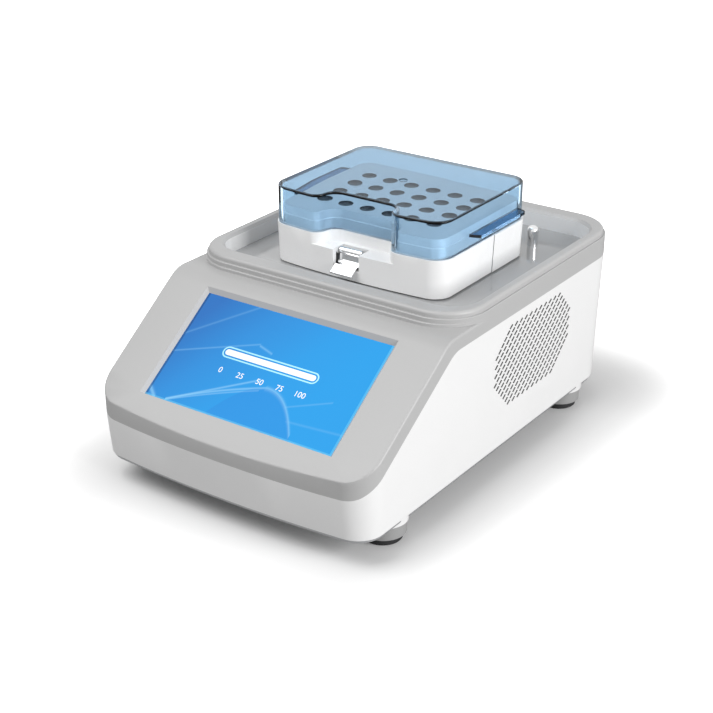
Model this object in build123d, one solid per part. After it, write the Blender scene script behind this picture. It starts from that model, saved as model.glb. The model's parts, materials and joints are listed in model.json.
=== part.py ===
"""Benchtop thermal mixer: heated 24-place block on an orbital drive, with a sloping touch console.

Millimetres. +Z is up, the console faces -Y, and the origin is on the bench under the middle of the body.
"""

import math
import os

from build123d import *

# ---- body casing ----
BODY_WIDTH = 228.0
BODY_DEPTH = 339.0
FRONT_BOW_RADIUS = 1030.0
FRONT_CORNER_RADIUS = 20.6
REAR_CORNER_RADIUS = 34.0
HOUSING_BOTTOM_Z = 20.6
SILL_Z = 49.7
PARTING_Z = 118.5
SIDE_DRAFT = 2.5
REAR_DRAFT = 3.5
FRONT_DRAFT = 3.6
SILL_BLEND_RADIUS = 20.0
CASING_WALL = 2.6

# ---- sloping console and stepped rim of the top cover ----
CONSOLE_SLOPE = 34.8
CONSOLE_FOOT_Z = 60.1
CONSOLE_EDGE_RADIUS = 1.6
CREASE_REACH = 12.0
BAND_DEPTH = 11.7
SHOULDER_Z = 128.0
SHOULDER_BLEND_RADIUS = 22.0
LOWER_LEDGE_Z = 130.4
UPPER_LEDGE_Z = 133.6
RIM_TOP_Z = 137.8
CONSOLE_DEPTH = 112.1
RIM_SIDE_INSET = 1.5
RIM_CORNER_RADIUS = 31.0
RIM_EDGE_RADIUS = 2.4
LEDGE_STEP = 1.5
LEDGE_EDGE_CHAMFER = 0.4
RIM_SIDE_WIDTH = 9.8
RIM_FRONT_WIDTH = 14.2
RIM_REAR_WIDTH = 16.5
WELL_CORNER_RADIUS = 22.0
WELL_LIP_CHAMFER = 2.0
WELL_FLOOR_Z = 124.4
WELL_FLOOR_THICKNESS = 2.0

# ---- touch display ----
WINDOW_WIDTH = 154.6
WINDOW_HEIGHT = 86.6
WINDOW_SIDE_FLARE = 2.3
WINDOW_TOP_FLARE = 3.3
WINDOW_BOTTOM_FLARE = 0.8
WINDOW_SETBACK = 52.2
GLASS_MARGIN = 3.0
GLASS_THICKNESS = 1.6
GLASS_CORNER_RADIUS = 2.0
DISPLAY_THICKNESS = 6.0
DISPLAY_MARGIN = 2.0
DISPLAY_BOARD_THICKNESS = 1.6
DISPLAY_SPACER = 4.0
DISPLAY_BOARD_INSET = 12.0
DISPLAY_CHIPS = ((-30.0, 10.0, 22.0, 22.0), (12.0, 8.0, 16.0, 16.0), (38.0, -12.0, 12.0, 20.0))
CHIP_THICKNESS = 2.0
SPACER_RADIUS = 3.0
SPACER_INSET = 5.0

# ---- base and feet ----
BASE_PLATE_BOTTOM_Z = 18.3
BASE_PLATE_THICKNESS = 2.0
BASE_PLATE_INSET = 1.2
FOOT_SIDE_SETBACK = 20.7
FOOT_FRONT_SETBACK = 53.9
FOOT_REAR_SETBACK = 45.6
FOOT_BOSS_RADIUS = 17.0
FOOT_BOSS_BOTTOM_Z = 14.8
FOOT_BOSS_TOP_Z = 34.0
FOOT_BOSS_CLEARANCE = 0.6
FOOT_RING_RADIUS = 15.7
FOOT_PAD_RADIUS = 13.2
FOOT_PAD_HEIGHT = 5.4
FOOT_PAD_CHAMFER = 0.8
FOOT_SCREW_RADIUS = 2.0
FOOT_SCREW_HEAD_RADIUS = 4.2
FOOT_SCREW_HEAD_HEIGHT = 2.6
FOOT_SCREW_LENGTH = 20.0
SCREW_CLEARANCE = 0.2
BASE_SCREW_RADIUS = 1.5
BASE_SCREW_HEAD_RADIUS = 3.0
BASE_SCREW_HEAD_HEIGHT = 1.6
BASE_SCREW_LENGTH = 14.0
BASE_BOSS_RADIUS = 4.6
BASE_BOSS_HEIGHT = 18.0
BASE_BOSS_CAP = 2.0
BASE_SCREW_INSET = 6.6
BASE_SCREW_SPACING = 82.5

# ---- side vents ----
VENT_FORWARD = 0.9
VENT_CENTRE_Z = 80.6
VENT_LENGTH = 102.0
VENT_HEIGHT = 60.8
VENT_CORNER_CUT = 17.5
VENT_PITCH = 6.8
VENT_ROW_PITCH = 3.46
VENT_SLOT_LENGTH = 3.5
VENT_SLOT_WIDTH = 1.6

# ---- orbital drive ----
BLOCK_SETBACK = 86.0
ORBIT_RADIUS = 1.5
RUNNING_GAP = 0.05
BRACKET_Z = 66.0
BRACKET_THICKNESS = 5.0
BRACKET_WIDTH = 150.0
BRACKET_LENGTH = 124.0
BRACKET_CORNER_RADIUS = 9.0
STANDOFF_RADIUS = 5.0
STANDOFF_INSET = 9.0
MOTOR_RADIUS = 28.0
MOTOR_HEIGHT = 36.0
MOTOR_WALL = 3.0
MOTOR_WINDING = 6.0
MOTOR_FOOT_RADIUS = 16.8
MOTOR_NECK_LIP = 1.0
ROTOR_GAP = 1.0
SHAFT_RADIUS = 4.0
BEARING_RADIUS = 11.0
SHAFT_TAIL = 4.0
CRANK_DISC_RADIUS = 20.0
CRANK_DISC_THICKNESS = 5.0
CRANK_DISC_LIFT = 2.5
COUNTERWEIGHT_RADIUS = 30.0
COUNTERWEIGHT_THICKNESS = 4.0
COUNTERWEIGHT_PIN_GAP = 1.0
COUNTERWEIGHT_CUT = 2.0
IDLER_X = 52.0
IDLER_Y = 40.0
IDLER_SHAFT_RADIUS = 3.0
IDLER_BEARING_RADIUS = 7.0
IDLER_WEB_RADIUS = 6.0
IDLER_WEB_THICKNESS = 6.0
IDLER_WEB_LIFT = 2.0
IDLER_TAIL = 2.0

# ---- shaker table and thermal stack ----
TABLE_Z = 86.0
TABLE_THICKNESS = 6.0
TABLE_WIDTH = 124.0
TABLE_LENGTH = 100.0
TABLE_CORNER_RADIUS = 8.0
SINK_WIDTH = 110.0
SINK_LENGTH = 78.0
SINK_TOP_Z = 118.5
SINK_BASE_THICKNESS = 4.5
SINK_FIN_PITCH = 6.4
SINK_FIN_THICKNESS = 1.6
SINK_POCKET_DEPTH = 4.0
SINK_POCKET_GAP = 2.0
PELTIER_SIZE = 40.0
PELTIER_THICKNESS = 3.8
PELTIER_X = 24.0
INSULATION_MARGIN = 1.0
INSULATION_INSET = 3.0
INSULATION_RADIUS = 3.0
HEATING_PLATE_WIDTH = 108.0
HEATING_PLATE_LENGTH = 84.0
HEATING_PLATE_RADIUS = 5.0
BLOCK_BOTTOM_Z = 128.0
FLOOR_OPENING_GAP = 6.0
SEAL_WIDTH = 9.0
SEAL_THICKNESS = 3.0
SEAL_PLATE_GAP = 3.0
SENSOR_RADIUS = 2.0
SENSOR_LENGTH = 24.0

# ---- block module: carrier, tube block, lid ----
LID_WIDTH = 143.8
LID_REACH_REAR = 58.9
LID_REACH_FRONT = 61.6
LID_BOW_RADIUS = 625.0
LID_CORNER_RADIUS = 14.0
LID_TOP_Z = 181.7
LID_SEAT_Z = 153.9
LID_WALL = 3.0
LID_EDGE_RADIUS = 1.2
NOTCH_MOUTH_HALF = 37.1
NOTCH_FLOOR_HALF = 19.6
NOTCH_DEPTH = 16.6
LID_PLUG_RADIUS = 3.2
LID_PLUG_HEIGHT = 0.8
LID_PLUG_SETBACK = 56.0
TAB_TOP_Z = 164.4
TAB_THICKNESS = 2.2
TAB_REACH = 8.6
TAB_LENGTH = 60.0
TAB_END_SLANT = 3.6
TAB_CORNER_RADIUS = 3.0
TAB_SHIFT = 8.7
CARRIER_MARGIN = 0.8
CARRIER_WALL = 4.4
CARRIER_DRAFT = 1.2
CARRIER_BOTTOM_Z = 125.6
CARRIER_SPLIT_SHIFT = 8.9
CARRIER_REAR_PROUD = 0.5
SHELF_Z = 145.6
SHELF_THICKNESS = 2.8
BLOCK_GAP = 0.4
BLOCK_TOP_Z = 167.4
BLOCK_STEP_Z = 160.9
BLOCK_STEP = 0.6
TUBE_COLUMNS = 6
TUBE_ROWS = 4
TUBE_PITCH_X = 18.56
TUBE_PITCH_Y = 18.8
TUBE_HOLE_RADIUS = 5.5
TUBE_HOLE_DEPTH = 34.0
TUBE_TIP_DEPTH = 12.0
TUBE_TIP_RADIUS = 2.2
DOWEL_RADIUS = 2.5
DOWEL_HEIGHT = 4.0
DOWEL_CHAMFER = 0.6
DOWEL_END_GAP = 0.5
DOWEL_X = 46.0

# ---- front latch ----
LATCH_X = -4.7
LATCH_WIDTH = 18.0
LATCH_WINDOW_WIDTH = 22.0
LATCH_WINDOW_BOTTOM_Z = 133.4
LATCH_WINDOW_SETBACK = 12.9
LATCH_PIVOT_SETBACK = 7.8
LATCH_PIVOT_Z = 143.6
LATCH_PIVOT_ROLL = 2.6
LATCH_PIN_RADIUS = 1.2
LATCH_EAR_THICKNESS = 3.0
LATCH_EAR_WALL = 2.0
LATCH_NOSE_SETBACK = 5.4
LATCH_NOSE_Z = 135.4
LATCH_NOSE_ROLL = 2.0
LATCH_SHEET = 1.0
LATCH_TAB_BEND_REACH = 0.1
LATCH_TAB_TIP_REACH = 6.4
LATCH_TAB_TIP_Z = 130.4
STRIKER_GAP = 0.3
STRIKER_THICKNESS = 2.2
STRIKER_FOOT_LIFT = 0.4
STRIKER_WIDTH = 14.0
STRIKER_TOP_Z = 138.5

# ---- fans, power and electronics ----
FAN_SIZE = 80.0
FAN_DEPTH = 20.0
FAN_WALL_GAP = 5.6
FAN_BORE_RADIUS = 37.5
FAN_HUB_RADIUS = 15.0
FAN_TIP_GAP = 1.0
FAN_BLADES = 7
FAN_BLADE_THICKNESS = 1.4
FAN_BLADE_PITCH = 35.0
FAN_STRUT_THICKNESS = 3.0
FAN_STRUT_WIDTH = 4.0
FAN_HUB_GAP = 3.0
FAN_AXLE_RADIUS = 2.0
FAN_CORNER_HOLE = 36.0
FAN_POST_RADIUS = 4.0
POST_SIDE_SETBACK = 37.5
POST_REAR_SETBACK = 33.6
POST_RADIUS = 4.3
POST_DOME_RADIUS = 4.0
POST_TOP_Z = 139.2
INLET_SIDE_SETBACK = 54.0
INLET_Z = 47.0
INLET_RECESS = 5.1
INLET_PAD_THICKNESS = 3.4
INLET_PAD_HEIGHT = 36.0
INLET_PAD_MARGIN = 7.0
INLET_POCKET_INSET = 1.5
PANEL_GAP = 0.2
INLET_FLANGE_WIDTH = 50.0
INLET_FLANGE_HEIGHT = 30.0
INLET_BODY_WIDTH = 30.0
INLET_BODY_HEIGHT = 22.0
INLET_BODY_DEPTH = 22.0
INLET_FLANGE_THICKNESS = 2.4
INLET_SOCKET_WIDTH = 24.5
INLET_SOCKET_HEIGHT = 17.0
INLET_SOCKET_DEPTH = 17.0
INLET_PIN_SPACING = 7.0
INLET_PIN_HEIGHT = 4.0
INLET_PIN_THICKNESS = 2.0
INLET_PIN_SETBACK = 3.0
INLET_EARTH_LIFT = 3.0
SWITCH_SPACING = 41.0
SWITCH_WIDTH = 15.0
SWITCH_HEIGHT = 21.0
SWITCH_RIM = 1.6
SWITCH_DEPTH = 16.0
ROCKER_GAP = 0.35
ROCKER_TILT = 9.0
ROCKER_PIVOT_DEPTH = 3.0
ROCKER_ROOM = 9.0
ROCKER_FOOT = 1.9
ROCKER_FLANK_LOW = 0.6
ROCKER_FLANK_HIGH = 2.4
ROCKER_CROWN = 3.0
ROCKER_PIN_RADIUS = 1.2
PSU_WIDTH = 130.0
PSU_LENGTH = 62.0
PSU_HEIGHT = 34.0
PSU_SETBACK = 71.5
PSU_LIFT = 3.0
BOARD_WIDTH = 100.0
BOARD_LENGTH = 46.0
BOARD_X = 22.0
BOARD_REAR_SETBACK = 38.5
BOARD_LIFT = 8.0
BOARD_THICKNESS = 1.6
BOARD_CAPACITORS = ((-38.0, 7.0, 6.0, 20.0), (-23.0, 8.0, 6.0, 20.0), (-38.0, -8.0, 4.0, 12.0))
BOARD_PARTS = ((0.0, 0.0, 24.0, 24.0, 3.0), (34.0, 4.0, 18.0, 20.0, 14.0), (24.0, -14.0, 30.0, 8.0, 9.0))

# ---- worked out from the above ----
HALF_WIDTH = BODY_WIDTH / 2
FRONT_Y = -BODY_DEPTH / 2
REAR_Y = BODY_DEPTH / 2
RIM_FRONT_Y = FRONT_Y + CONSOLE_DEPTH
WELL_FRONT_Y = RIM_FRONT_Y + RIM_FRONT_WIDTH
WELL_REAR_Y = REAR_Y - RIM_REAR_WIDTH
WELL_WIDTH = BODY_WIDTH - 2 * RIM_SIDE_WIDTH
BLOCK_Y = WELL_FRONT_Y + BLOCK_SETBACK
LID_FRONT_Y = BLOCK_Y - LID_REACH_FRONT
LID_REAR_Y = BLOCK_Y + LID_REACH_REAR
TAB_Y = BLOCK_Y + TAB_SHIFT
CARRIER_SPLIT_Y = BLOCK_Y + CARRIER_SPLIT_SHIFT
LATCH_WINDOW_REAR_Y = LID_FRONT_Y + LATCH_WINDOW_SETBACK
LATCH_PIVOT_Y = LID_FRONT_Y + LATCH_PIVOT_SETBACK
LATCH_NOSE_Y = LID_FRONT_Y + LATCH_NOSE_SETBACK
LATCH_TAB_BEND_Y = LID_FRONT_Y - LATCH_TAB_BEND_REACH
LATCH_TAB_TIP_Y = LID_FRONT_Y - LATCH_TAB_TIP_REACH
WINDOW_CENTRE_Y = FRONT_Y + WINDOW_SETBACK
FOOT_X = HALF_WIDTH - FOOT_SIDE_SETBACK
FOOT_FRONT_Y = FRONT_Y + FOOT_FRONT_SETBACK
FOOT_REAR_Y = REAR_Y - FOOT_REAR_SETBACK
VENT_CENTRE_Y = BLOCK_Y - VENT_FORWARD
FAN_OUTER_X = HALF_WIDTH - FAN_WALL_GAP
POST_X = WELL_WIDTH / 2 - POST_SIDE_SETBACK
POST_Y = WELL_REAR_Y - POST_REAR_SETBACK
INLET_X = INLET_SIDE_SETBACK - HALF_WIDTH
INLET_PANEL_Y = REAR_Y - INLET_RECESS
INLET_PAD_LEFT_X = INLET_X - INLET_FLANGE_WIDTH / 2 - INLET_PAD_MARGIN
SWITCH_X = INLET_X + SWITCH_SPACING
INLET_PAD_RIGHT_X = SWITCH_X + SWITCH_WIDTH / 2 + SWITCH_RIM + INLET_PAD_MARGIN
PSU_Y = FRONT_Y + PSU_SETBACK
BOARD_Y = REAR_Y - BOARD_REAR_SETBACK
SLOPE = math.tan(math.radians(CONSOLE_SLOPE))
SLOPE_COS = math.cos(math.radians(CONSOLE_SLOPE))
BASE_TOP_Z = BASE_PLATE_BOTTOM_Z + BASE_PLATE_THICKNESS
BRACKET_TOP_Z = BRACKET_Z + BRACKET_THICKNESS
TABLE_TOP_Z = TABLE_Z + TABLE_THICKNESS
PELTIER_TOP_Z = SINK_TOP_Z + PELTIER_THICKNESS
PLATE_FRONT_Y = BLOCK_Y - HEATING_PLATE_LENGTH / 2
FEET = [(x, y) for y in (FOOT_FRONT_Y, FOOT_REAR_Y) for x in (-FOOT_X, FOOT_X)]
IDLERS = [(x, y) for y in (BLOCK_Y - IDLER_Y, BLOCK_Y + IDLER_Y) for x in (-IDLER_X, IDLER_X)]
IDLER_NAMES = ("front_left", "front_right", "rear_left", "rear_right")


def save(name, shape):
    """Write one sub-part to its own STEP file."""
    export_step(shape, f"parts/{name}.step")


def cylinder(x, y, low, high, radius):
    """Upright cylinder between two heights."""
    return Pos(x, y, (low + high) / 2) * Cylinder(radius, high - low)


def block(x, y, z):
    """Box from three (low, high) pairs."""
    centre = [(low + high) / 2 for low, high in (x, y, z)]
    size = [high - low for low, high in (x, y, z)]
    return Pos(*centre) * Box(*size)


def prism(face, low, high):
    """Extrude a face drawn on the XY plane between two heights."""
    return extrude(Pos(0, 0, low) * face, amount=high - low)


def rounded(width, length, radius):
    """Rounded rectangle centred over the block."""
    return Pos(0, BLOCK_Y) * RectangleRounded(width, length, radius)


def round_plate(margin, radius):
    """Rounded rectangle a margin larger all round than the heating plate."""
    return rounded(HEATING_PLATE_WIDTH + 2 * margin, HEATING_PLATE_LENGTH + 2 * margin, radius)


def side_profile(points, radii, half_width=HALF_WIDTH + 10):
    """Solid across the whole body from (y, z) corners, each rounded where its radius is not zero."""
    outline = Polyline(*points, close=True)
    face = make_face(outline)
    for (y, z), radius in zip(points, radii):
        if radius:
            corner = face.vertices().sort_by_distance(Vector(y, z, 0))[0]
            face = fillet(corner, radius)
    return extrude(Plane.YZ * face, amount=half_width, both=True)


# ---------------------------------------------------------------- casing

def body_outline(side_inset, front_inset, rear_inset):
    """Plan of the body: bowed front, straight sides and rear, four round corners."""
    half = HALF_WIDTH - side_inset
    front = FRONT_Y + front_inset
    rear = REAR_Y - rear_inset
    bow = FRONT_BOW_RADIUS - math.sqrt(FRONT_BOW_RADIUS**2 - half**2)
    edges = ThreePointArc((-half, front + bow), (0, front), (half, front + bow))
    edges += Polyline((half, front + bow), (half, rear), (-half, rear), (-half, front + bow))
    face = make_face(edges)
    corners = face.vertices().sort_by(Axis.Y)
    face = fillet(corners[:2], FRONT_CORNER_RADIUS - front_inset * 0.5)
    corners = face.vertices().sort_by(Axis.Y)[-2:]
    return fillet(corners, REAR_CORNER_RADIUS - rear_inset * 0.5)


def draft_at(z):
    """Share of the side and rear draft that is left at a height."""
    return (PARTING_Z - z) / (PARTING_Z - HOUSING_BOTTOM_Z)


def section(z, inset, front_extra):
    """Plan of the tapered casing at one height, drawn in by the same inset all round."""
    share = draft_at(z)
    face = body_outline(SIDE_DRAFT * share + inset, front_extra + inset, REAR_DRAFT * share + inset)
    return Pos(0, 0, z) * face


def casing_body(inset, low, high):
    """Tapered casing volume: drafted front below the sill, upright front above it."""
    foot = section(low, inset, FRONT_DRAFT)
    sill = section(SILL_Z, inset, 0)
    top = section(PARTING_Z, inset, 0)
    body = loft([foot, sill], ruled=True) + loft([sill, top], ruled=True)
    if high > PARTING_Z:
        body += extrude(top, amount=high - PARTING_Z)
    return body


def console_z(y, drop=0.0):
    """Height of the console face, or of a face that lies a distance below it."""
    return CONSOLE_FOOT_Z + (y - FRONT_Y) * SLOPE - drop / SLOPE_COS


def console_y(z, drop=0.0):
    """Where the console face, or one a distance below it, reaches a height."""
    return FRONT_Y + (z + drop / SLOPE_COS - CONSOLE_FOOT_Z) / SLOPE


def below_parting():
    """Everything under the line where housing and cover meet."""
    far = BODY_DEPTH
    bend = console_y(PARTING_Z, BAND_DEPTH)
    sill = console_y(SILL_Z, BAND_DEPTH)
    points = [(-far, 0), (far, 0), (far, PARTING_Z), (bend, PARTING_Z), (sill, SILL_Z), (-far, SILL_Z)]
    return side_profile(points, (0, 0, 0, SHOULDER_BLEND_RADIUS, SILL_BLEND_RADIUS, 0))


def below_top(drop=0.0):
    """Everything under the console face and the shoulder behind it."""
    far = BODY_DEPTH
    shoulder = SHOULDER_Z - drop
    bend = console_y(shoulder, drop)
    points = [(-far, 0), (far, 0), (far, shoulder), (bend, shoulder), (-far, console_z(-far, drop))]
    return side_profile(points, (0, 0, 0, SHOULDER_BLEND_RADIUS - drop, 0))


def foot_bosses():
    """Round pads that carry the feet, one at each corner."""
    bosses = [cylinder(x, y, FOOT_BOSS_BOTTOM_Z, FOOT_BOSS_TOP_Z, FOOT_BOSS_RADIUS) for x, y in FEET]
    holes = [
        cylinder(x, y, FOOT_BOSS_BOTTOM_Z, FOOT_BOSS_TOP_Z, FOOT_SCREW_RADIUS + SCREW_CLEARANCE)
        for x, y in FEET
    ]
    return Part() + bosses - holes


def base_screw_points():
    """Where the base plate is screwed to the side walls."""
    reach = HALF_WIDTH - SIDE_DRAFT - BASE_SCREW_INSET
    middle = (FOOT_FRONT_Y + FOOT_REAR_Y) / 2
    rows = (middle - BASE_SCREW_SPACING, middle, middle + BASE_SCREW_SPACING)
    return [(side * reach, y) for y in rows for side in (-1, 1)]


def base_bosses():
    """Screw pillars beside the walls for the base plate."""
    top = HOUSING_BOTTOM_Z + BASE_BOSS_HEIGHT
    radius = BASE_SCREW_RADIUS + SCREW_CLEARANCE
    posts = [cylinder(x, y, HOUSING_BOTTOM_Z, top, BASE_BOSS_RADIUS) for x, y in base_screw_points()]
    end = top - BASE_BOSS_CAP
    holes = [cylinder(x, y, HOUSING_BOTTOM_Z, end, radius) for x, y in base_screw_points()]
    return Part() + posts - holes


def vent_slots(side):
    """Slanting slots in an eight-sided field through one side wall."""
    half_l = VENT_LENGTH / 2
    half_h = VENT_HEIGHT / 2
    rows = int(VENT_HEIGHT / VENT_ROW_PITCH)
    columns = int(VENT_LENGTH / VENT_PITCH)
    slots = []
    for row in range(rows + 1):
        z = (row - rows / 2) * VENT_ROW_PITCH
        shift = VENT_PITCH / 2 * (row % 2)
        for column in range(columns + 1):
            y = (column - columns / 2) * VENT_PITCH + shift
            inside = abs(y) <= half_l and abs(z) <= half_h
            if inside and (half_l - abs(y)) + (half_h - abs(z)) >= VENT_CORNER_CUT:
                bar = Rectangle(VENT_SLOT_WIDTH, VENT_SLOT_LENGTH, rotation=-45)
                slots.append(Pos(y, z) * bar)
    field = Plane.YZ * (Pos(VENT_CENTRE_Y, VENT_CENTRE_Z) * Sketch(children=slots))
    start = HALF_WIDTH - SIDE_DRAFT - CASING_WALL - 1
    tool = extrude(Pos(start, 0, 0) * field, amount=SIDE_DRAFT + CASING_WALL + 3)
    return tool if side > 0 else mirror(tool, about=Plane.YZ)


def fan_centre(side):
    """Middle of one fan."""
    return side * (FAN_OUTER_X - FAN_DEPTH / 2), VENT_CENTRE_Y, VENT_CENTRE_Z


def fan_posts(side):
    """Posts that hold a fan off the side wall."""
    posts = []
    for dy in (-FAN_CORNER_HOLE, FAN_CORNER_HOLE):
        for dz in (-FAN_CORNER_HOLE, FAN_CORNER_HOLE):
            length = HALF_WIDTH - 2 - FAN_OUTER_X
            post = Rot(0, 90, 0) * Cylinder(FAN_POST_RADIUS, length)
            x = side * (FAN_OUTER_X + length / 2)
            posts.append(Pos(x, VENT_CENTRE_Y + dy, VENT_CENTRE_Z + dz) * post)
    return Part() + posts


def inlet_pad():
    """Flat thickening of the rear wall for the power inlet and switch."""
    half = INLET_PAD_HEIGHT / 2
    outer = REAR_Y - CASING_WALL
    inner = INLET_PANEL_Y - INLET_PAD_THICKNESS
    return block((INLET_PAD_LEFT_X, INLET_PAD_RIGHT_X), (inner, outer), (INLET_Z - half, INLET_Z + half))


def inlet_cuts():
    """Flat pocket in the rear wall, and the holes for inlet and switch."""
    half = INLET_PAD_HEIGHT / 2 - INLET_POCKET_INSET
    across = (INLET_PAD_LEFT_X + INLET_POCKET_INSET, INLET_PAD_RIGHT_X - INLET_POCKET_INSET)
    pocket = block(across, (INLET_PANEL_Y, REAR_Y + 5), (INLET_Z - half, INLET_Z + half))
    wide = INLET_BODY_WIDTH / 2 + PANEL_GAP
    high = INLET_BODY_HEIGHT / 2 + PANEL_GAP
    through = (INLET_PANEL_Y - 20, REAR_Y)
    hole = block((INLET_X - wide, INLET_X + wide), through, (INLET_Z - high, INLET_Z + high))
    wide = SWITCH_WIDTH / 2 + PANEL_GAP
    high = SWITCH_HEIGHT / 2 + PANEL_GAP
    slot = block((SWITCH_X - wide, SWITCH_X + wide), through, (INLET_Z - high, INLET_Z + high))
    return pocket, hole, slot


def lower_housing():
    """White housing: a drafted wall all round, open above and below."""
    low = HOUSING_BOTTOM_Z
    outer = casing_body(0, low, PARTING_Z) & below_parting()
    inner = casing_body(CASING_WALL, low, PARTING_Z + 1)
    shell = outer - inner
    limit = casing_body(CASING_WALL / 8, low, PARTING_Z)
    extras = base_bosses() + fan_posts(1) + fan_posts(-1) + inlet_pad()
    shell = shell + (extras & limit) + foot_bosses()
    for cut in inlet_cuts():
        shell -= cut
    return shell - vent_slots(1) - vent_slots(-1)


def rim_outline(step, side_inset):
    """Plan of the raised rim or of a ledge round it, stepped out at the front."""
    half = HALF_WIDTH - side_inset
    front = RIM_FRONT_Y - step
    rear = REAR_Y - side_inset
    face = Pos(0, (front + rear) / 2) * Rectangle(2 * half, rear - front)
    corners = face.vertices().sort_by(Axis.Y)
    face = fillet(corners[:2], RIM_CORNER_RADIUS + step)
    return fillet(face.vertices().sort_by(Axis.Y)[-2:], REAR_CORNER_RADIUS - side_inset)


def well_outline(margin=0.0):
    """Plan of the sunken well round the block."""
    width = WELL_WIDTH + 2 * margin
    length = WELL_REAR_Y - WELL_FRONT_Y + 2 * margin
    middle = (WELL_REAR_Y + WELL_FRONT_Y) / 2
    return Pos(0, middle) * RectangleRounded(width, length, WELL_CORNER_RADIUS + margin)


def top_edges(solid, z):
    """Edges of a solid that lie flat at one height."""
    return solid.edges().filter_by_position(Axis.Z, z - 0.01, z + 0.01)


def raised_rim():
    """Raised rim with its rounded upper edge."""
    solid = prism(rim_outline(0, RIM_SIDE_INSET), PARTING_Z, RIM_TOP_Z)
    return fillet(top_edges(solid, RIM_TOP_Z), RIM_EDGE_RADIUS)


def ledge_step(step, top):
    """One of the two low ledges below the rim, with a small chamfer."""
    solid = prism(rim_outline(step, 0), PARTING_Z, top)
    return chamfer(top_edges(solid, top), LEDGE_EDGE_CHAMFER)


def console_place(drop=0.0):
    """Plane on the console face, its x across and its y up the slope, or one a distance below it."""
    z = console_z(WINDOW_CENTRE_Y)
    normal = (0, -math.sin(math.radians(CONSOLE_SLOPE)), SLOPE_COS)
    return Plane(origin=(0, WINDOW_CENTRE_Y, z), x_dir=(1, 0, 0), z_dir=normal).offset(-drop)


def window_cut():
    """Flared opening over the display, its upper wall leaning the most."""
    wide = WINDOW_WIDTH + 2 * WINDOW_SIDE_FLARE
    tall = WINDOW_HEIGHT + WINDOW_TOP_FLARE + WINDOW_BOTTOM_FLARE
    rise = (WINDOW_TOP_FLARE - WINDOW_BOTTOM_FLARE) / 2
    outer = console_place() * (Pos(0, rise) * Rectangle(wide, tall))
    inner = console_place(CASING_WALL) * Rectangle(WINDOW_WIDTH, WINDOW_HEIGHT)
    return loft([outer, inner], ruled=True) + extrude(outer, amount=1) + extrude(inner, amount=-1)


def top_cover():
    """Grey cover: sloping console, side band, stepped rim and the walls of the well."""
    body = casing_body(0, HOUSING_BOTTOM_Z, SHOULDER_Z + 1) - below_parting()
    body = body & below_top()
    front = body.edges().filter_by(lambda e: e.center().Y < FRONT_Y + CREASE_REACH)
    front = front.filter_by(lambda e: e.center().Z < CONSOLE_FOOT_Z + CREASE_REACH / 2)
    crease = front.filter_by(lambda e: abs(e.center().Z - console_z(e.center().Y)) < 0.6)
    body = fillet(crease, CONSOLE_EDGE_RADIUS)
    body += ledge_step(LEDGE_STEP * 2, LOWER_LEDGE_Z)
    body += ledge_step(LEDGE_STEP, UPPER_LEDGE_Z)
    body += raised_rim()
    hollow = casing_body(CASING_WALL, HOUSING_BOTTOM_Z, SHOULDER_Z) & below_top(CASING_WALL)
    rim_inner = rim_outline(-CASING_WALL, RIM_SIDE_INSET + CASING_WALL)
    hollow += prism(rim_inner, PARTING_Z - 1, RIM_TOP_Z - CASING_WALL)
    hollow -= prism(well_outline(CASING_WALL), WELL_FLOOR_Z, RIM_TOP_Z)
    body -= hollow
    well = prism(well_outline(), WELL_FLOOR_Z - 20, RIM_TOP_Z + 1)
    body -= well
    lip = body.edges().filter_by_position(Axis.Z, RIM_TOP_Z - 0.01, RIM_TOP_Z + 0.01)
    inner = lip.filter_by(lambda e: abs(e.center().X) < WELL_WIDTH / 2 + 0.5)
    inner = inner.filter_by(lambda e: WELL_FRONT_Y - 0.5 < e.center().Y < WELL_REAR_Y + 0.5)
    body = chamfer(inner, WELL_LIP_CHAMFER)
    return body - window_cut()


def well_floor():
    """Glossy floor of the well with the opening for the shaken plate."""
    face = well_outline(CASING_WALL) - round_plate(FLOOR_OPENING_GAP, TABLE_CORNER_RADIUS)
    return prism(face, WELL_FLOOR_Z - WELL_FLOOR_THICKNESS, WELL_FLOOR_Z)


def opening_seal():
    """Rubber ring under the floor opening."""
    top = WELL_FLOOR_Z - WELL_FLOOR_THICKNESS
    inner = round_plate(SEAL_PLATE_GAP, TABLE_CORNER_RADIUS)
    outer = round_plate(SEAL_PLATE_GAP + SEAL_WIDTH, TABLE_CORNER_RADIUS + SEAL_WIDTH)
    return prism(outer - inner, top - SEAL_THICKNESS, top)


def well_post():
    """Dome-topped steel post that stands in the well behind the block."""
    post = cylinder(POST_X, POST_Y, WELL_FLOOR_Z, POST_TOP_Z, POST_RADIUS)
    return fillet(top_edges(post, POST_TOP_Z), POST_DOME_RADIUS)


# ---------------------------------------------------------------- base and feet

def base_plate():
    """Steel plate that closes the housing, cut away round the foot bosses."""
    inset = BASE_PLATE_INSET
    face = body_outline(SIDE_DRAFT + inset, FRONT_DRAFT + inset, REAR_DRAFT + inset)
    plate = prism(face, BASE_PLATE_BOTTOM_Z, BASE_TOP_Z)
    for x, y in FEET:
        plate -= cylinder(x, y, 0, FOOT_BOSS_TOP_Z, FOOT_BOSS_RADIUS + FOOT_BOSS_CLEARANCE)
    for x, y in base_screw_points():
        plate -= cylinder(x, y, 0, FOOT_BOSS_TOP_Z, BASE_SCREW_RADIUS + SCREW_CLEARANCE)
    return plate


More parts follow.
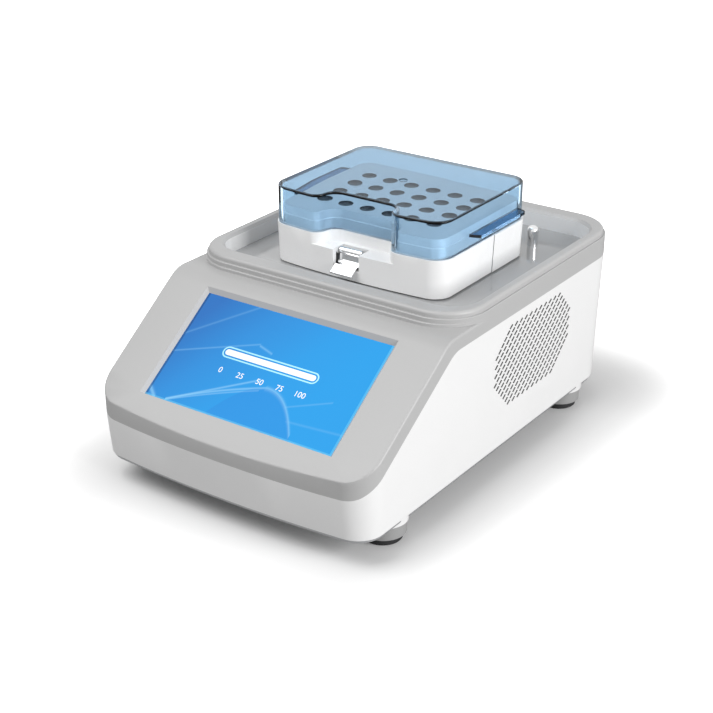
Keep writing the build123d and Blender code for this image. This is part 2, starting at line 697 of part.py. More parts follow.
def foot_rings():
    """Grey plastic feet screwed under the bosses."""
    rings = []
    for x, y in FEET:
        ring = cylinder(x, y, FOOT_PAD_HEIGHT, FOOT_BOSS_BOTTOM_Z, FOOT_RING_RADIUS)
        ring -= cylinder(x, y, 0, FOOT_BOSS_BOTTOM_Z, FOOT_SCREW_RADIUS + SCREW_CLEARANCE)
        head = FOOT_PAD_HEIGHT + FOOT_SCREW_HEAD_HEIGHT + SCREW_CLEARANCE
        rings.append(ring - cylinder(x, y, 0, head, FOOT_SCREW_HEAD_RADIUS + SCREW_CLEARANCE))
    return Compound(children=rings)


def foot_screws():
    """Screws that hold the feet, their heads over the rubber pads."""
    screws = []
    for x, y in FEET:
        low = FOOT_PAD_HEIGHT + SCREW_CLEARANCE
        neck = low + FOOT_SCREW_HEAD_HEIGHT
        head = cylinder(x, y, low, neck, FOOT_SCREW_HEAD_RADIUS)
        screws.append(head + cylinder(x, y, neck, neck + FOOT_SCREW_LENGTH, FOOT_SCREW_RADIUS))
    return Compound(children=screws)


def foot_pads():
    """Black rubber pads that stand on the bench."""
    pads = []
    for x, y in FEET:
        pad = cylinder(x, y, 0, FOOT_PAD_HEIGHT, FOOT_PAD_RADIUS)
        pads.append(chamfer(top_edges(pad, 0), FOOT_PAD_CHAMFER))
    return Compound(children=pads)


def base_screws():
    """Pan-head screws under the base plate."""
    screws = []
    for x, y in base_screw_points():
        top = BASE_PLATE_BOTTOM_Z
        head = cylinder(x, y, top - BASE_SCREW_HEAD_HEIGHT, top, BASE_SCREW_HEAD_RADIUS)
        screws.append(head + cylinder(x, y, top, top + BASE_SCREW_LENGTH, BASE_SCREW_RADIUS))
    return Compound(children=screws)


# ---------------------------------------------------------------- display

def display_glass():
    """Touch glass behind the console window."""
    width = WINDOW_WIDTH + 2 * GLASS_MARGIN
    height = WINDOW_HEIGHT + 2 * GLASS_MARGIN
    face = RectangleRounded(width, height, GLASS_CORNER_RADIUS)
    return extrude(console_place(CASING_WALL) * face, amount=-GLASS_THICKNESS)


def display_module():
    """Liquid crystal panel in its metal frame."""
    drop = CASING_WALL + GLASS_THICKNESS
    face = Rectangle(WINDOW_WIDTH + 2 * DISPLAY_MARGIN, WINDOW_HEIGHT + 2 * DISPLAY_MARGIN)
    return extrude(console_place(drop) * face, amount=-DISPLAY_THICKNESS)


def display_board():
    """Driver board on four spacers behind the panel."""
    drop = CASING_WALL + GLASS_THICKNESS + DISPLAY_THICKNESS
    place = console_place(drop + DISPLAY_SPACER)
    width = WINDOW_WIDTH - 2 * DISPLAY_BOARD_INSET
    height = WINDOW_HEIGHT - 2 * DISPLAY_BOARD_INSET
    board = extrude(place * Rectangle(width, height), amount=-DISPLAY_BOARD_THICKNESS)
    for x in (SPACER_INSET - width / 2, width / 2 - SPACER_INSET):
        for y in (SPACER_INSET - height / 2, height / 2 - SPACER_INSET):
            board += extrude(place * (Pos(x, y) * Circle(SPACER_RADIUS)), amount=DISPLAY_SPACER)
    back = console_place(drop + DISPLAY_SPACER + DISPLAY_BOARD_THICKNESS)
    for x, y, wide, tall in DISPLAY_CHIPS:
        board += extrude(back * (Pos(x, y) * Rectangle(wide, tall)), amount=-CHIP_THICKNESS)
    return board


# ---------------------------------------------------------------- drive

def drive_bracket():
    """Plate that carries the motor and the bearings of the cranks."""
    plate = prism(rounded(BRACKET_WIDTH, BRACKET_LENGTH, BRACKET_CORNER_RADIUS), BRACKET_Z, BRACKET_TOP_Z)
    plate -= cylinder(0, BLOCK_Y, 0, TABLE_Z, BEARING_RADIUS)
    for x, y in IDLERS:
        plate -= cylinder(x, y, 0, TABLE_Z, IDLER_BEARING_RADIUS)
    return plate


def standoffs():
    """Pillars between base plate and drive bracket."""
    x = BRACKET_WIDTH / 2 - STANDOFF_INSET
    y = BRACKET_LENGTH / 2 - STANDOFF_INSET
    corners = [(sx * x, BLOCK_Y + sy * y) for sx in (-1, 1) for sy in (-1, 1)]
    return Compound(children=[cylinder(px, py, BASE_TOP_Z, BRACKET_Z, STANDOFF_RADIUS) for px, py in corners])


def ball_bearing(x, y, low, radius, bore, height):
    """Plain ring that stands for a ball bearing."""
    return cylinder(x, y, low, low + height, radius) - cylinder(x, y, low, low + height, bore)


def bracket_bearings():
    """Bearings in the drive bracket: one for the motor shaft, four for the cranks."""
    bore = SHAFT_RADIUS + RUNNING_GAP
    rings = [ball_bearing(0, BLOCK_Y, BRACKET_Z, BEARING_RADIUS, bore, BRACKET_THICKNESS)]
    bore = IDLER_SHAFT_RADIUS + RUNNING_GAP
    for x, y in IDLERS:
        rings.append(ball_bearing(x, y, BRACKET_Z, IDLER_BEARING_RADIUS, bore, BRACKET_THICKNESS))
    return Compound(children=rings)


def motor_stator():
    """Motor case with its windings, open above for the shaft."""
    low = BRACKET_Z - MOTOR_HEIGHT
    case = cylinder(0, BLOCK_Y, low, BRACKET_Z, MOTOR_RADIUS)
    bore = MOTOR_RADIUS - MOTOR_WALL - MOTOR_WINDING
    case -= cylinder(0, BLOCK_Y, low + MOTOR_WALL, BRACKET_Z - MOTOR_WALL, bore)
    return case - cylinder(0, BLOCK_Y, BRACKET_Z - MOTOR_WALL, BRACKET_Z, BEARING_RADIUS - MOTOR_NECK_LIP)


def motor_foot():
    """Rubber block between motor and base plate."""
    return cylinder(0, BLOCK_Y, BASE_TOP_Z, BRACKET_Z - MOTOR_HEIGHT, MOTOR_FOOT_RADIUS)


def motor_rotor():
    """Magnet rotor on the motor shaft."""
    low = BRACKET_Z - MOTOR_HEIGHT + MOTOR_WALL + ROTOR_GAP
    high = BRACKET_Z - MOTOR_WALL - ROTOR_GAP
    radius = MOTOR_RADIUS - MOTOR_WALL - MOTOR_WINDING - ROTOR_GAP
    rotor = cylinder(0, BLOCK_Y, low + SHAFT_TAIL, high, radius)
    return rotor - cylinder(0, BLOCK_Y, low, high, SHAFT_RADIUS)


def eccentric_shaft():
    """Motor shaft with a crank disc and an offset pin that drives the table."""
    low = BRACKET_Z - MOTOR_HEIGHT + MOTOR_WALL + ROTOR_GAP
    disc_low = BRACKET_TOP_Z + CRANK_DISC_LIFT
    disc_high = disc_low + CRANK_DISC_THICKNESS
    shaft = cylinder(0, BLOCK_Y, low, disc_low, SHAFT_RADIUS)
    shaft += cylinder(0, BLOCK_Y, disc_low, disc_high, CRANK_DISC_RADIUS)
    return shaft + cylinder(ORBIT_RADIUS, BLOCK_Y, disc_high, TABLE_TOP_Z, SHAFT_RADIUS)


def counterweight():
    """Half-round steel weight opposite the offset pin."""
    low = BRACKET_TOP_Z + CRANK_DISC_LIFT + CRANK_DISC_THICKNESS
    weight = cylinder(0, BLOCK_Y, low, low + COUNTERWEIGHT_THICKNESS, COUNTERWEIGHT_RADIUS)
    pin_room = SHAFT_RADIUS + ORBIT_RADIUS + COUNTERWEIGHT_PIN_GAP
    weight -= cylinder(0, BLOCK_Y, low, low + COUNTERWEIGHT_THICKNESS, pin_room)
    along = (BLOCK_Y - COUNTERWEIGHT_RADIUS, BLOCK_Y + COUNTERWEIGHT_RADIUS)
    return weight & block((-COUNTERWEIGHT_RADIUS, -COUNTERWEIGHT_CUT), along, (0, TABLE_Z))


def idler_crank(x, y):
    """Corner crank that keeps the table from turning."""
    web_low = BRACKET_TOP_Z + IDLER_WEB_LIFT
    web_high = web_low + IDLER_WEB_THICKNESS
    crank = cylinder(x, y, BRACKET_Z - IDLER_TAIL, web_low, IDLER_SHAFT_RADIUS)
    crank += cylinder(x + ORBIT_RADIUS / 2, y, web_low, web_high, IDLER_WEB_RADIUS)
    return crank + cylinder(x + ORBIT_RADIUS, y, web_high, TABLE_TOP_Z, IDLER_SHAFT_RADIUS)


# ---------------------------------------------------------------- table and thermal stack

def shaker_table():
    """Plate carried by the crank pins; it orbits without turning."""
    plate = prism(rounded(TABLE_WIDTH, TABLE_LENGTH, TABLE_CORNER_RADIUS), TABLE_Z, TABLE_TOP_Z)
    plate = Pos(ORBIT_RADIUS, 0, 0) * plate
    plate -= cylinder(ORBIT_RADIUS, BLOCK_Y, 0, SINK_TOP_Z, BEARING_RADIUS)
    for x, y in IDLERS:
        plate -= cylinder(x + ORBIT_RADIUS, y, 0, SINK_TOP_Z, IDLER_BEARING_RADIUS)
    return plate


def table_bearings():
    """Bearings in the table for the drive pin and the four crank pins."""
    bore = SHAFT_RADIUS + RUNNING_GAP
    rings = [ball_bearing(ORBIT_RADIUS, BLOCK_Y, TABLE_Z, BEARING_RADIUS, bore, TABLE_THICKNESS)]
    bore = IDLER_SHAFT_RADIUS + RUNNING_GAP
    for x, y in IDLERS:
        rings.append(ball_bearing(x + ORBIT_RADIUS, y, TABLE_Z, IDLER_BEARING_RADIUS, bore, TABLE_THICKNESS))
    return Compound(children=rings)


def heat_sink():
    """Finned aluminium block; the fins run across for the side fans."""
    low = TABLE_TOP_Z
    root = SINK_TOP_Z - SINK_BASE_THICKNESS
    half_x = SINK_WIDTH / 2
    half_y = SINK_LENGTH / 2
    sink = block((-half_x, half_x), (BLOCK_Y - half_y, BLOCK_Y + half_y), (root, SINK_TOP_Z))
    fins = int((SINK_LENGTH - SINK_FIN_THICKNESS) / SINK_FIN_PITCH)
    for i in range(fins + 1):
        y = BLOCK_Y + (i - fins / 2) * SINK_FIN_PITCH
        half = SINK_FIN_THICKNESS / 2
        sink += block((-half_x, half_x), (y - half, y + half), (low, root))
    return sink - cylinder(0, BLOCK_Y, low, low + SINK_POCKET_DEPTH, BEARING_RADIUS + SINK_POCKET_GAP)


def peltier_modules():
    """Two thermoelectric modules side by side."""
    half = PELTIER_SIZE / 2
    tiles = [
        block((x - half, x + half), (BLOCK_Y - half, BLOCK_Y + half), (SINK_TOP_Z, PELTIER_TOP_Z))
        for x in (-PELTIER_X, PELTIER_X)
    ]
    return Compound(children=tiles)


def insulation_frame():
    """Foam frame round the thermoelectric modules, just inside the heating plate's edge."""
    face = round_plate(-INSULATION_INSET, INSULATION_RADIUS)
    hole = PELTIER_SIZE + 2 * INSULATION_MARGIN
    for x in (-PELTIER_X, PELTIER_X):
        face -= Pos(x, BLOCK_Y) * Rectangle(hole, hole)
    return prism(face, SINK_TOP_Z, PELTIER_TOP_Z)


def heating_plate():
    """Aluminium plate that heats and cools the tube block."""
    plate = prism(round_plate(0, HEATING_PLATE_RADIUS), PELTIER_TOP_Z, BLOCK_BOTTOM_Z)
    z = (PELTIER_TOP_Z + BLOCK_BOTTOM_Z) / 2
    rear = BLOCK_Y + HEATING_PLATE_LENGTH / 2
    bore = Pos(0, rear - SENSOR_LENGTH / 2, z) * (Rot(90, 0, 0) * Cylinder(SENSOR_RADIUS, SENSOR_LENGTH))
    return plate - bore


def temperature_sensor():
    """Probe in the edge of the heating plate."""
    z = (PELTIER_TOP_Z + BLOCK_BOTTOM_Z) / 2
    rear = BLOCK_Y + HEATING_PLATE_LENGTH / 2
    length = SENSOR_LENGTH
    return Pos(0, rear - length / 2, z) * (Rot(90, 0, 0) * Cylinder(SENSOR_RADIUS - RUNNING_GAP, length))


def locating_dowels():
    """Dowels on the heating plate that centre the tube block."""
    dowels = []
    for x in (-DOWEL_X, DOWEL_X):
        dowel = cylinder(x, BLOCK_Y, BLOCK_BOTTOM_Z, BLOCK_BOTTOM_Z + DOWEL_HEIGHT, DOWEL_RADIUS)
        dowels.append(chamfer(top_edges(dowel, BLOCK_BOTTOM_Z + DOWEL_HEIGHT), DOWEL_CHAMFER))
    return Compound(children=dowels)


def latch_striker():
    """Bent steel catch on the front of the heating plate."""
    face_y = LATCH_NOSE_Y + LATCH_NOSE_ROLL + STRIKER_GAP
    t = STRIKER_THICKNESS
    arm = BLOCK_BOTTOM_Z - t
    foot = PELTIER_TOP_Z + STRIKER_FOOT_LIFT
    points = [
        (PLATE_FRONT_Y, foot), (PLATE_FRONT_Y, BLOCK_BOTTOM_Z), (face_y + t, BLOCK_BOTTOM_Z),
        (face_y + t, STRIKER_TOP_Z), (face_y, STRIKER_TOP_Z), (face_y, arm),
        (PLATE_FRONT_Y - t, arm), (PLATE_FRONT_Y - t, foot),
    ]
    face = make_face(Polyline(*points, close=True))
    return Pos(LATCH_X, 0, 0) * extrude(Plane.YZ * face, amount=STRIKER_WIDTH / 2, both=True)


# ---------------------------------------------------------------- block module

def lid_outline(offset_by=0.0):
    """Plan of the lid: bowed front with a wide notch reached by two smooth S-curves."""
    half = LID_WIDTH / 2

    def front_y(x):
        return LID_FRONT_Y + x * x / (2 * LID_BOW_RADIUS)

    mouth_y = front_y(NOTCH_MOUTH_HALF)
    floor_y = mouth_y + NOTCH_DEPTH
    run = NOTCH_MOUTH_HALF - NOTCH_FLOOR_HALF
    turn = 2 * math.atan2(NOTCH_DEPTH, run)
    steer = math.degrees(turn)
    radius = run / (2 * math.sin(turn))
    side_y = front_y(half)

    def s_curve(side):
        outer = JernArc((side * NOTCH_MOUTH_HALF, mouth_y), (-side, 0), radius, -side * steer)
        inner = JernArc((side * NOTCH_FLOOR_HALF, floor_y), (side, 0), radius, -side * steer)
        return outer, inner

    def bow(side):
        middle = (NOTCH_MOUTH_HALF + half) / 2
        start = (side * NOTCH_MOUTH_HALF, mouth_y)
        return ThreePointArc(start, (side * middle, front_y(middle)), (side * half, side_y))

    right_outer, right_inner = s_curve(1)
    left_outer, left_inner = s_curve(-1)
    edges = [bow(1), right_outer, right_inner, left_outer, left_inner, bow(-1)]
    edges.append(Line((-NOTCH_FLOOR_HALF, floor_y), (NOTCH_FLOOR_HALF, floor_y)))
    edges.append(Polyline((half, side_y), (half, LID_REAR_Y), (-half, LID_REAR_Y), (-half, side_y)))
    face = make_face(Curve() + edges)
    corners = [v for v in face.vertices() if abs(abs(v.X) - half) < 0.01]
    face = fillet(corners, LID_CORNER_RADIUS)
    return offset(face, amount=offset_by, kind=Kind.INTERSECTION) if offset_by else face


def carrier_outline(offset_by=0.0):
    """The lid's plan without its notch, for the carrier under it."""
    half = LID_WIDTH / 2 + offset_by
    front = LID_FRONT_Y - offset_by
    side_y = front + half * half / (2 * LID_BOW_RADIUS)
    rear = LID_REAR_Y + offset_by
    edges = ThreePointArc((-half, side_y), (0, front), (half, side_y))
    edges += Polyline((half, side_y), (half, rear), (-half, rear), (-half, side_y))
    face = make_face(edges)
    return fillet(face.vertices(), LID_CORNER_RADIUS + offset_by)


def carrier_body(proud):
    """Skirt of the block module with its draft and the shelf under the lid's notch."""
    margin = CARRIER_MARGIN + proud
    foot = Pos(0, 0, CARRIER_BOTTOM_Z) * carrier_outline(margin - CARRIER_DRAFT)
    head = Pos(0, 0, LID_SEAT_Z) * carrier_outline(margin)
    skirt = loft([foot, head], ruled=True)
    above = block((-LID_WIDTH, LID_WIDTH), (-LID_WIDTH, LID_WIDTH), (SHELF_Z, LID_SEAT_Z + 1))
    skirt -= above - prism(lid_outline(margin), SHELF_Z - 1, LID_SEAT_Z + 2)
    deep = carrier_outline(CARRIER_MARGIN - CARRIER_WALL)
    skirt -= prism(deep, CARRIER_BOTTOM_Z - 1, SHELF_Z - SHELF_THICKNESS)
    return skirt - prism(lid_outline(CARRIER_MARGIN - CARRIER_WALL), CARRIER_BOTTOM_Z, LID_SEAT_Z + 1)


def latch_window():
    """Opening in the carrier's front and shelf for the latch."""
    half = LATCH_WINDOW_WIDTH / 2
    along = (LID_FRONT_Y - 10, LATCH_WINDOW_REAR_Y)
    return block((LATCH_X - half, LATCH_X + half), along, (LATCH_WINDOW_BOTTOM_Z, LID_SEAT_Z))


def latch_pin():
    """Steel pin that the latch turns on, seated in the carrier at both ends."""
    length = LATCH_WINDOW_WIDTH + 2 * LATCH_EAR_THICKNESS
    pin = Rot(0, 90, 0) * Cylinder(LATCH_PIN_RADIUS, length)
    return Pos(LATCH_X, LATCH_PIVOT_Y, LATCH_PIVOT_Z) * pin


def latch_pin_ears():
    """Ears beside the window that hold the latch pin."""
    ears = []
    for side in (-1, 1):
        near = LATCH_X + side * LATCH_WINDOW_WIDTH / 2
        far = near + side * LATCH_EAR_THICKNESS
        radius = LATCH_PIN_RADIUS + LATCH_EAR_WALL
        disc = Rot(0, 90, 0) * Cylinder(radius, LATCH_EAR_THICKNESS)
        ear = Pos((near + far) / 2, LATCH_PIVOT_Y, LATCH_PIVOT_Z) * disc
        ear += block(
            (min(near, far), max(near, far)), (LATCH_PIVOT_Y - radius, LATCH_PIVOT_Y + radius),
            (LATCH_PIVOT_Z, SHELF_Z - SHELF_THICKNESS / 2),
        )
        top = block((-LID_WIDTH, LID_WIDTH), (-LID_WIDTH, LID_WIDTH), (SHELF_Z, LID_TOP_Z))
        ears.append(ear - top)
    return Part() + ears


def carrier_front():
    """Front half of the white carrier, with shelf and latch window."""
    body = carrier_body(0) & block((-LID_WIDTH, LID_WIDTH), (-LID_WIDTH, CARRIER_SPLIT_Y), (0, LID_TOP_Z))
    return body - latch_window() + latch_pin_ears() - latch_pin()


def carrier_rear():
    """Rear half of the carrier, a little prouder than the front half."""
    keep = block((-LID_WIDTH, LID_WIDTH), (CARRIER_SPLIT_Y, LID_WIDTH), (0, LID_TOP_Z))
    return carrier_body(CARRIER_REAR_PROUD) & keep


def tube_points():
    """Centres of the tube holes."""
    xs = [(i - (TUBE_COLUMNS - 1) / 2) * TUBE_PITCH_X for i in range(TUBE_COLUMNS)]
    ys = [BLOCK_Y + (i - (TUBE_ROWS - 1) / 2) * TUBE_PITCH_Y for i in range(TUBE_ROWS)]
    return [(x, y) for y in ys for x in xs]


def tube_hole():
    """Tool for one tapered tube hole, its mouth at the origin."""
    low = -TUBE_HOLE_DEPTH
    knee = low + TUBE_TIP_DEPTH
    points = [(0, 1), (TUBE_HOLE_RADIUS, 1), (TUBE_HOLE_RADIUS, knee), (TUBE_TIP_RADIUS, low), (0, low)]
    return revolve(Plane.XZ * make_face(Polyline(*points, close=True)), Axis.Z)


def tube_block():
    """Aluminium block with the grid of tapered tube holes and a step below its top."""
    inset = CARRIER_WALL - CARRIER_MARGIN + BLOCK_GAP
    body = prism(lid_outline(-inset), BLOCK_BOTTOM_Z, BLOCK_STEP_Z)
    body += prism(lid_outline(-inset - BLOCK_STEP), BLOCK_STEP_Z, BLOCK_TOP_Z)
    for x in (-DOWEL_X, DOWEL_X):
        low = BLOCK_BOTTOM_Z
        body -= cylinder(x, BLOCK_Y, low, low + DOWEL_HEIGHT + DOWEL_END_GAP, DOWEL_RADIUS + RUNNING_GAP)
    hole = tube_hole()
    return body - [Pos(x, y, BLOCK_TOP_Z) * hole for x, y in tube_points()]


def lid_tabs():
    """Finger tabs that stand out from the lid's two sides, their ends slanted."""
    root = LID_WIDTH / 2 - LID_WALL / 2
    tip = LID_WIDTH / 2 + TAB_REACH
    half_tip = TAB_LENGTH / 2
    half_root = half_tip + TAB_END_SLANT
    front = [(root, TAB_Y - half_root), (tip, TAB_Y - half_tip)]
    rear = [(tip, TAB_Y + half_tip), (root, TAB_Y + half_root)]
    face = make_face(Polyline(*front, *rear, close=True))
    face = fillet(face.vertices().sort_by(Axis.X)[-2:], TAB_CORNER_RADIUS)
    right = prism(face, TAB_TOP_Z - TAB_THICKNESS, TAB_TOP_Z)
    return right + mirror(right, about=Plane.YZ)


def lid():
    """Clear blue lid: a deep cap with the front notch and a finger tab on each side."""
    outer = prism(lid_outline(), LID_SEAT_Z, LID_TOP_Z)
    outer = fillet(top_edges(outer, LID_TOP_Z), LID_EDGE_RADIUS)
    inner = prism(lid_outline(-LID_WALL), LID_SEAT_Z - 1, LID_TOP_Z - LID_WALL)
    plug_y = LID_REAR_Y - LID_PLUG_SETBACK
    dimple = cylinder(0, plug_y, LID_TOP_Z - LID_PLUG_HEIGHT, LID_TOP_Z + 1, LID_PLUG_RADIUS)
    return outer + lid_tabs() - inner - dimple


def front_latch():
    """Chromed clip: a roll on the pin, a nose roll behind the window and a finger tab."""
    t = LATCH_SHEET
    pivot = Pos(LATCH_PIVOT_Y, LATCH_PIVOT_Z) * Circle(LATCH_PIVOT_ROLL)
    nose = Pos(LATCH_NOSE_Y, LATCH_NOSE_Z) * Circle(LATCH_NOSE_ROLL)
    web_top = LATCH_PIVOT_Y - LATCH_PIVOT_ROLL + t
    web_foot = LATCH_NOSE_Z + t
    web = make_face(Polyline(
        (web_top, LATCH_PIVOT_Z), (LATCH_NOSE_Y, web_foot), (LATCH_NOSE_Y + t, web_foot),
        (web_top + t, LATCH_PIVOT_Z), close=True,
    ))
    top = LATCH_NOSE_Z + t / 2
    tab = make_face(Polyline(
        (LATCH_NOSE_Y, top), (LATCH_TAB_BEND_Y, top), (LATCH_TAB_TIP_Y, LATCH_TAB_TIP_Z + t),
        (LATCH_TAB_TIP_Y, LATCH_TAB_TIP_Z), (LATCH_TAB_BEND_Y, top - t), (LATCH_NOSE_Y, top - t), close=True,
    ))
    bore = Pos(LATCH_PIVOT_Y, LATCH_PIVOT_Z) * Circle(LATCH_PIN_RADIUS + RUNNING_GAP)
    face = pivot + nose + web + tab - bore
    return Pos(LATCH_X, 0, 0) * extrude(Plane.YZ * face, amount=LATCH_WIDTH / 2, both=True)


# ---------------------------------------------------------------- fans

def fan_frame(side):
    """Square fan frame with its bore, corner holes and hub struts."""
    x, y, z = fan_centre(side)
    frame = Box(FAN_DEPTH, FAN_SIZE, FAN_SIZE) - Rot(0, 90, 0) * Cylinder(FAN_BORE_RADIUS, FAN_DEPTH)
    inner = -FAN_DEPTH / 2 + FAN_STRUT_THICKNESS / 2
    for angle in (45, 135, 225, 315):
        strut = Box(FAN_STRUT_THICKNESS, FAN_STRUT_WIDTH, FAN_BORE_RADIUS)
        strut = Pos(inner, 0, (FAN_BORE_RADIUS + FAN_STRUT_WIDTH) / 2) * strut
        frame += Rot(angle, 0, 0) * strut
    hub = Pos(inner, 0, 0) * (Rot(0, 90, 0) * Cylinder(FAN_HUB_RADIUS, FAN_STRUT_THICKNESS))
    frame += hub
    bore = Rot(0, 90, 0) * Cylinder(FAN_AXLE_RADIUS + RUNNING_GAP, FAN_DEPTH * 2)
    frame -= bore
    turned = frame if side > 0 else mirror(frame, about=Plane.YZ)
    return Pos(x, y, z) * turned


def fan_rotor(side):
    """Fan hub with pitched blades and the axle stub that runs in the frame."""
    x, y, z = fan_centre(side)
    depth = FAN_DEPTH - FAN_STRUT_THICKNESS - FAN_HUB_GAP
    middle = FAN_STRUT_THICKNESS / 2
    hub = Pos(middle, 0, 0) * (Rot(0, 90, 0) * Cylinder(FAN_HUB_RADIUS, depth))
    tip = FAN_BORE_RADIUS - FAN_TIP_GAP
    length = tip - FAN_HUB_RADIUS + 3
    chord = (depth - 2) / math.cos(math.radians(FAN_BLADE_PITCH))
    trim = Pos(middle, 0, 0) * (Rot(0, 90, 0) * Cylinder(tip, depth - 1))
    for i in range(FAN_BLADES):
        plate = Box(chord, FAN_BLADE_THICKNESS, length)
        blade = Pos(middle, 0, tip - length / 2) * (Rot(0, 0, FAN_BLADE_PITCH) * plate)
        hub += Rot(i * 360 / FAN_BLADES, 0, 0) * blade & trim
    axle_low = -FAN_DEPTH / 2
    axle_high = middle
    axle = Rot(0, 90, 0) * Cylinder(FAN_AXLE_RADIUS, axle_high - axle_low)
    hub += Pos((axle_low + axle_high) / 2, 0, 0) * axle
    turned = hub if side > 0 else mirror(hub, about=Plane.YZ)
    return Pos(x, y, z) * turned


# ---------------------------------------------------------------- power and electronics

def power_inlet():
    """Three-pin mains inlet in the rear wall."""
    half = INLET_FLANGE_WIDTH / 2
    tall = INLET_FLANGE_HEIGHT / 2
    face = INLET_PANEL_Y + INLET_FLANGE_THICKNESS
    flange = block((INLET_X - half, INLET_X + half), (INLET_PANEL_Y, face), (INLET_Z - tall, INLET_Z + tall))
    wide = INLET_BODY_WIDTH / 2
    high = INLET_BODY_HEIGHT / 2
    back = INLET_PANEL_Y - INLET_BODY_DEPTH
    body = block((INLET_X - wide, INLET_X + wide), (back, INLET_PANEL_Y), (INLET_Z - high, INLET_Z + high))
    wide = INLET_SOCKET_WIDTH / 2
    high = INLET_SOCKET_HEIGHT / 2
    floor = face - INLET_SOCKET_DEPTH
    socket = block((INLET_X - wide, INLET_X + wide), (floor, face), (INLET_Z - high, INLET_Z + high))
    solid = flange + body - socket
    low = -INLET_PIN_HEIGHT / 2
    thick = INLET_PIN_THICKNESS / 2
    for dx, dz in ((-INLET_PIN_SPACING, low), (0, INLET_EARTH_LIFT), (INLET_PIN_SPACING, low)):
        x = INLET_X + dx
        z = INLET_Z + dz
        along = (floor, face - INLET_PIN_SETBACK)
        solid += block((x - thick, x + thick), along, (z + low, z - low))
    return solid


def switch_frame():
    """Frame of the rocker switch."""
    rim = SWITCH_RIM
    wide = SWITCH_WIDTH / 2
    high = SWITCH_HEIGHT / 2
    face = INLET_PANEL_Y + rim
    across = (SWITCH_X - wide - rim, SWITCH_X + wide + rim)
    flange = block(across, (INLET_PANEL_Y, face), (INLET_Z - high - rim, INLET_Z + high + rim))
    back = INLET_PANEL_Y - SWITCH_DEPTH
    body = block((SWITCH_X - wide, SWITCH_X + wide), (back, INLET_PANEL_Y), (INLET_Z - high, INLET_Z + high))
    room = block(
        (SWITCH_X - wide + rim, SWITCH_X + wide - rim), (INLET_PANEL_Y - ROCKER_ROOM, face),
        (INLET_Z - high + rim, INLET_Z + high - rim),
    )
    pin = Rot(0, 90, 0) * Cylinder(ROCKER_PIN_RADIUS, SWITCH_WIDTH - rim)
    return flange + body - room + Pos(SWITCH_X, INLET_PANEL_Y - ROCKER_PIVOT_DEPTH, INLET_Z) * pin


def switch_rocker():
    """Rocker that tips about its pin; stored in the off position."""
    half = SWITCH_HEIGHT / 2 - SWITCH_RIM - 3 * ROCKER_GAP
    wide = SWITCH_WIDTH - 2 * SWITCH_RIM - 2 * ROCKER_GAP
    foot = ROCKER_FOOT
    outline = [(-foot, -foot), (-foot, foot), (ROCKER_FLANK_LOW, half), (ROCKER_FLANK_HIGH, half)]
    outline += [(ROCKER_CROWN, 0), (ROCKER_FLANK_HIGH, -half), (ROCKER_FLANK_LOW, -half)]
    face = make_face(Polyline(*outline, close=True)) - Circle(ROCKER_PIN_RADIUS + RUNNING_GAP)
    solid = extrude(Plane.YZ * face, amount=wide / 2, both=True)
    return Pos(SWITCH_X, INLET_PANEL_Y - ROCKER_PIVOT_DEPTH, INLET_Z) * (Rot(ROCKER_TILT, 0, 0) * solid)


def power_supply():
    """Boxed power supply on four short feet."""
    half = PSU_WIDTH / 2
    low = BASE_TOP_Z + PSU_LIFT
    y = (PSU_Y - PSU_LENGTH / 2, PSU_Y + PSU_LENGTH / 2)
    box = block((-half, half), y, (low, low + PSU_HEIGHT))
    inset = 2 * SPACER_RADIUS
    for x in (-half + inset, half - inset):
        for foot_y in (y[0] + inset, y[1] - inset):
            box += cylinder(x, foot_y, BASE_TOP_Z, low, SPACER_RADIUS)
    return box


def control_board():
    """Main board on four spacers, with its larger components."""
    half_x = BOARD_WIDTH / 2
    half_y = BOARD_LENGTH / 2
    low = BASE_TOP_Z + BOARD_LIFT
    top = low + BOARD_THICKNESS
    board = block((BOARD_X - half_x, BOARD_X + half_x), (BOARD_Y - half_y, BOARD_Y + half_y), (low, top))
    for dx in (SPACER_INSET - half_x, half_x - SPACER_INSET):
        for dy in (SPACER_INSET - half_y, half_y - SPACER_INSET):
            board += cylinder(BOARD_X + dx, BOARD_Y + dy, BASE_TOP_Z, low, SPACER_RADIUS)
    for dx, dy, radius, height in BOARD_CAPACITORS:
        board += cylinder(BOARD_X + dx, BOARD_Y + dy, top, top + height, radius)
    for dx, dy, width, length, height in BOARD_PARTS:
        x = BOARD_X + dx
        y = BOARD_Y + dy
        board += block((x - width / 2, x + width / 2), (y - length / 2, y + length / 2), (top, top + height))
    return board


PARTS = {
    "lower_housing": lower_housing,
    "top_cover": top_cover,
    "well_floor": well_floor,
    "opening_seal": opening_seal,
    "well_post": well_post,
    "base_plate": base_plate,
    "base_screws": base_screws,
    "foot_rings": foot_rings,
    "foot_screws": foot_screws,
    "foot_pads": foot_pads,
    "display_glass": display_glass,
    "display_module": display_module,
    "display_board": display_board,
    "drive_bracket": drive_bracket,
    "bracket_standoffs": standoffs,
    "bracket_bearings": bracket_bearings,
    "motor_stator": motor_stator,
    "motor_foot": motor_foot,
    "motor_rotor": motor_rotor,
    "eccentric_shaft": eccentric_shaft,
    "counterweight": counterweight,
    "shaker_table": shaker_table,
    "table_bearings": table_bearings,
    "carrier_front": carrier_front,
    "carrier_rear": carrier_rear,
    "tube_block": tube_block,
    "latch_pin": latch_pin,
    "front_latch": front_latch,
    "lid": lid,
    "power_inlet": power_inlet,
    "switch_frame": switch_frame,
    "switch_rocker": switch_rocker,
    "power_supply": power_supply,
    "control_board": control_board,
}
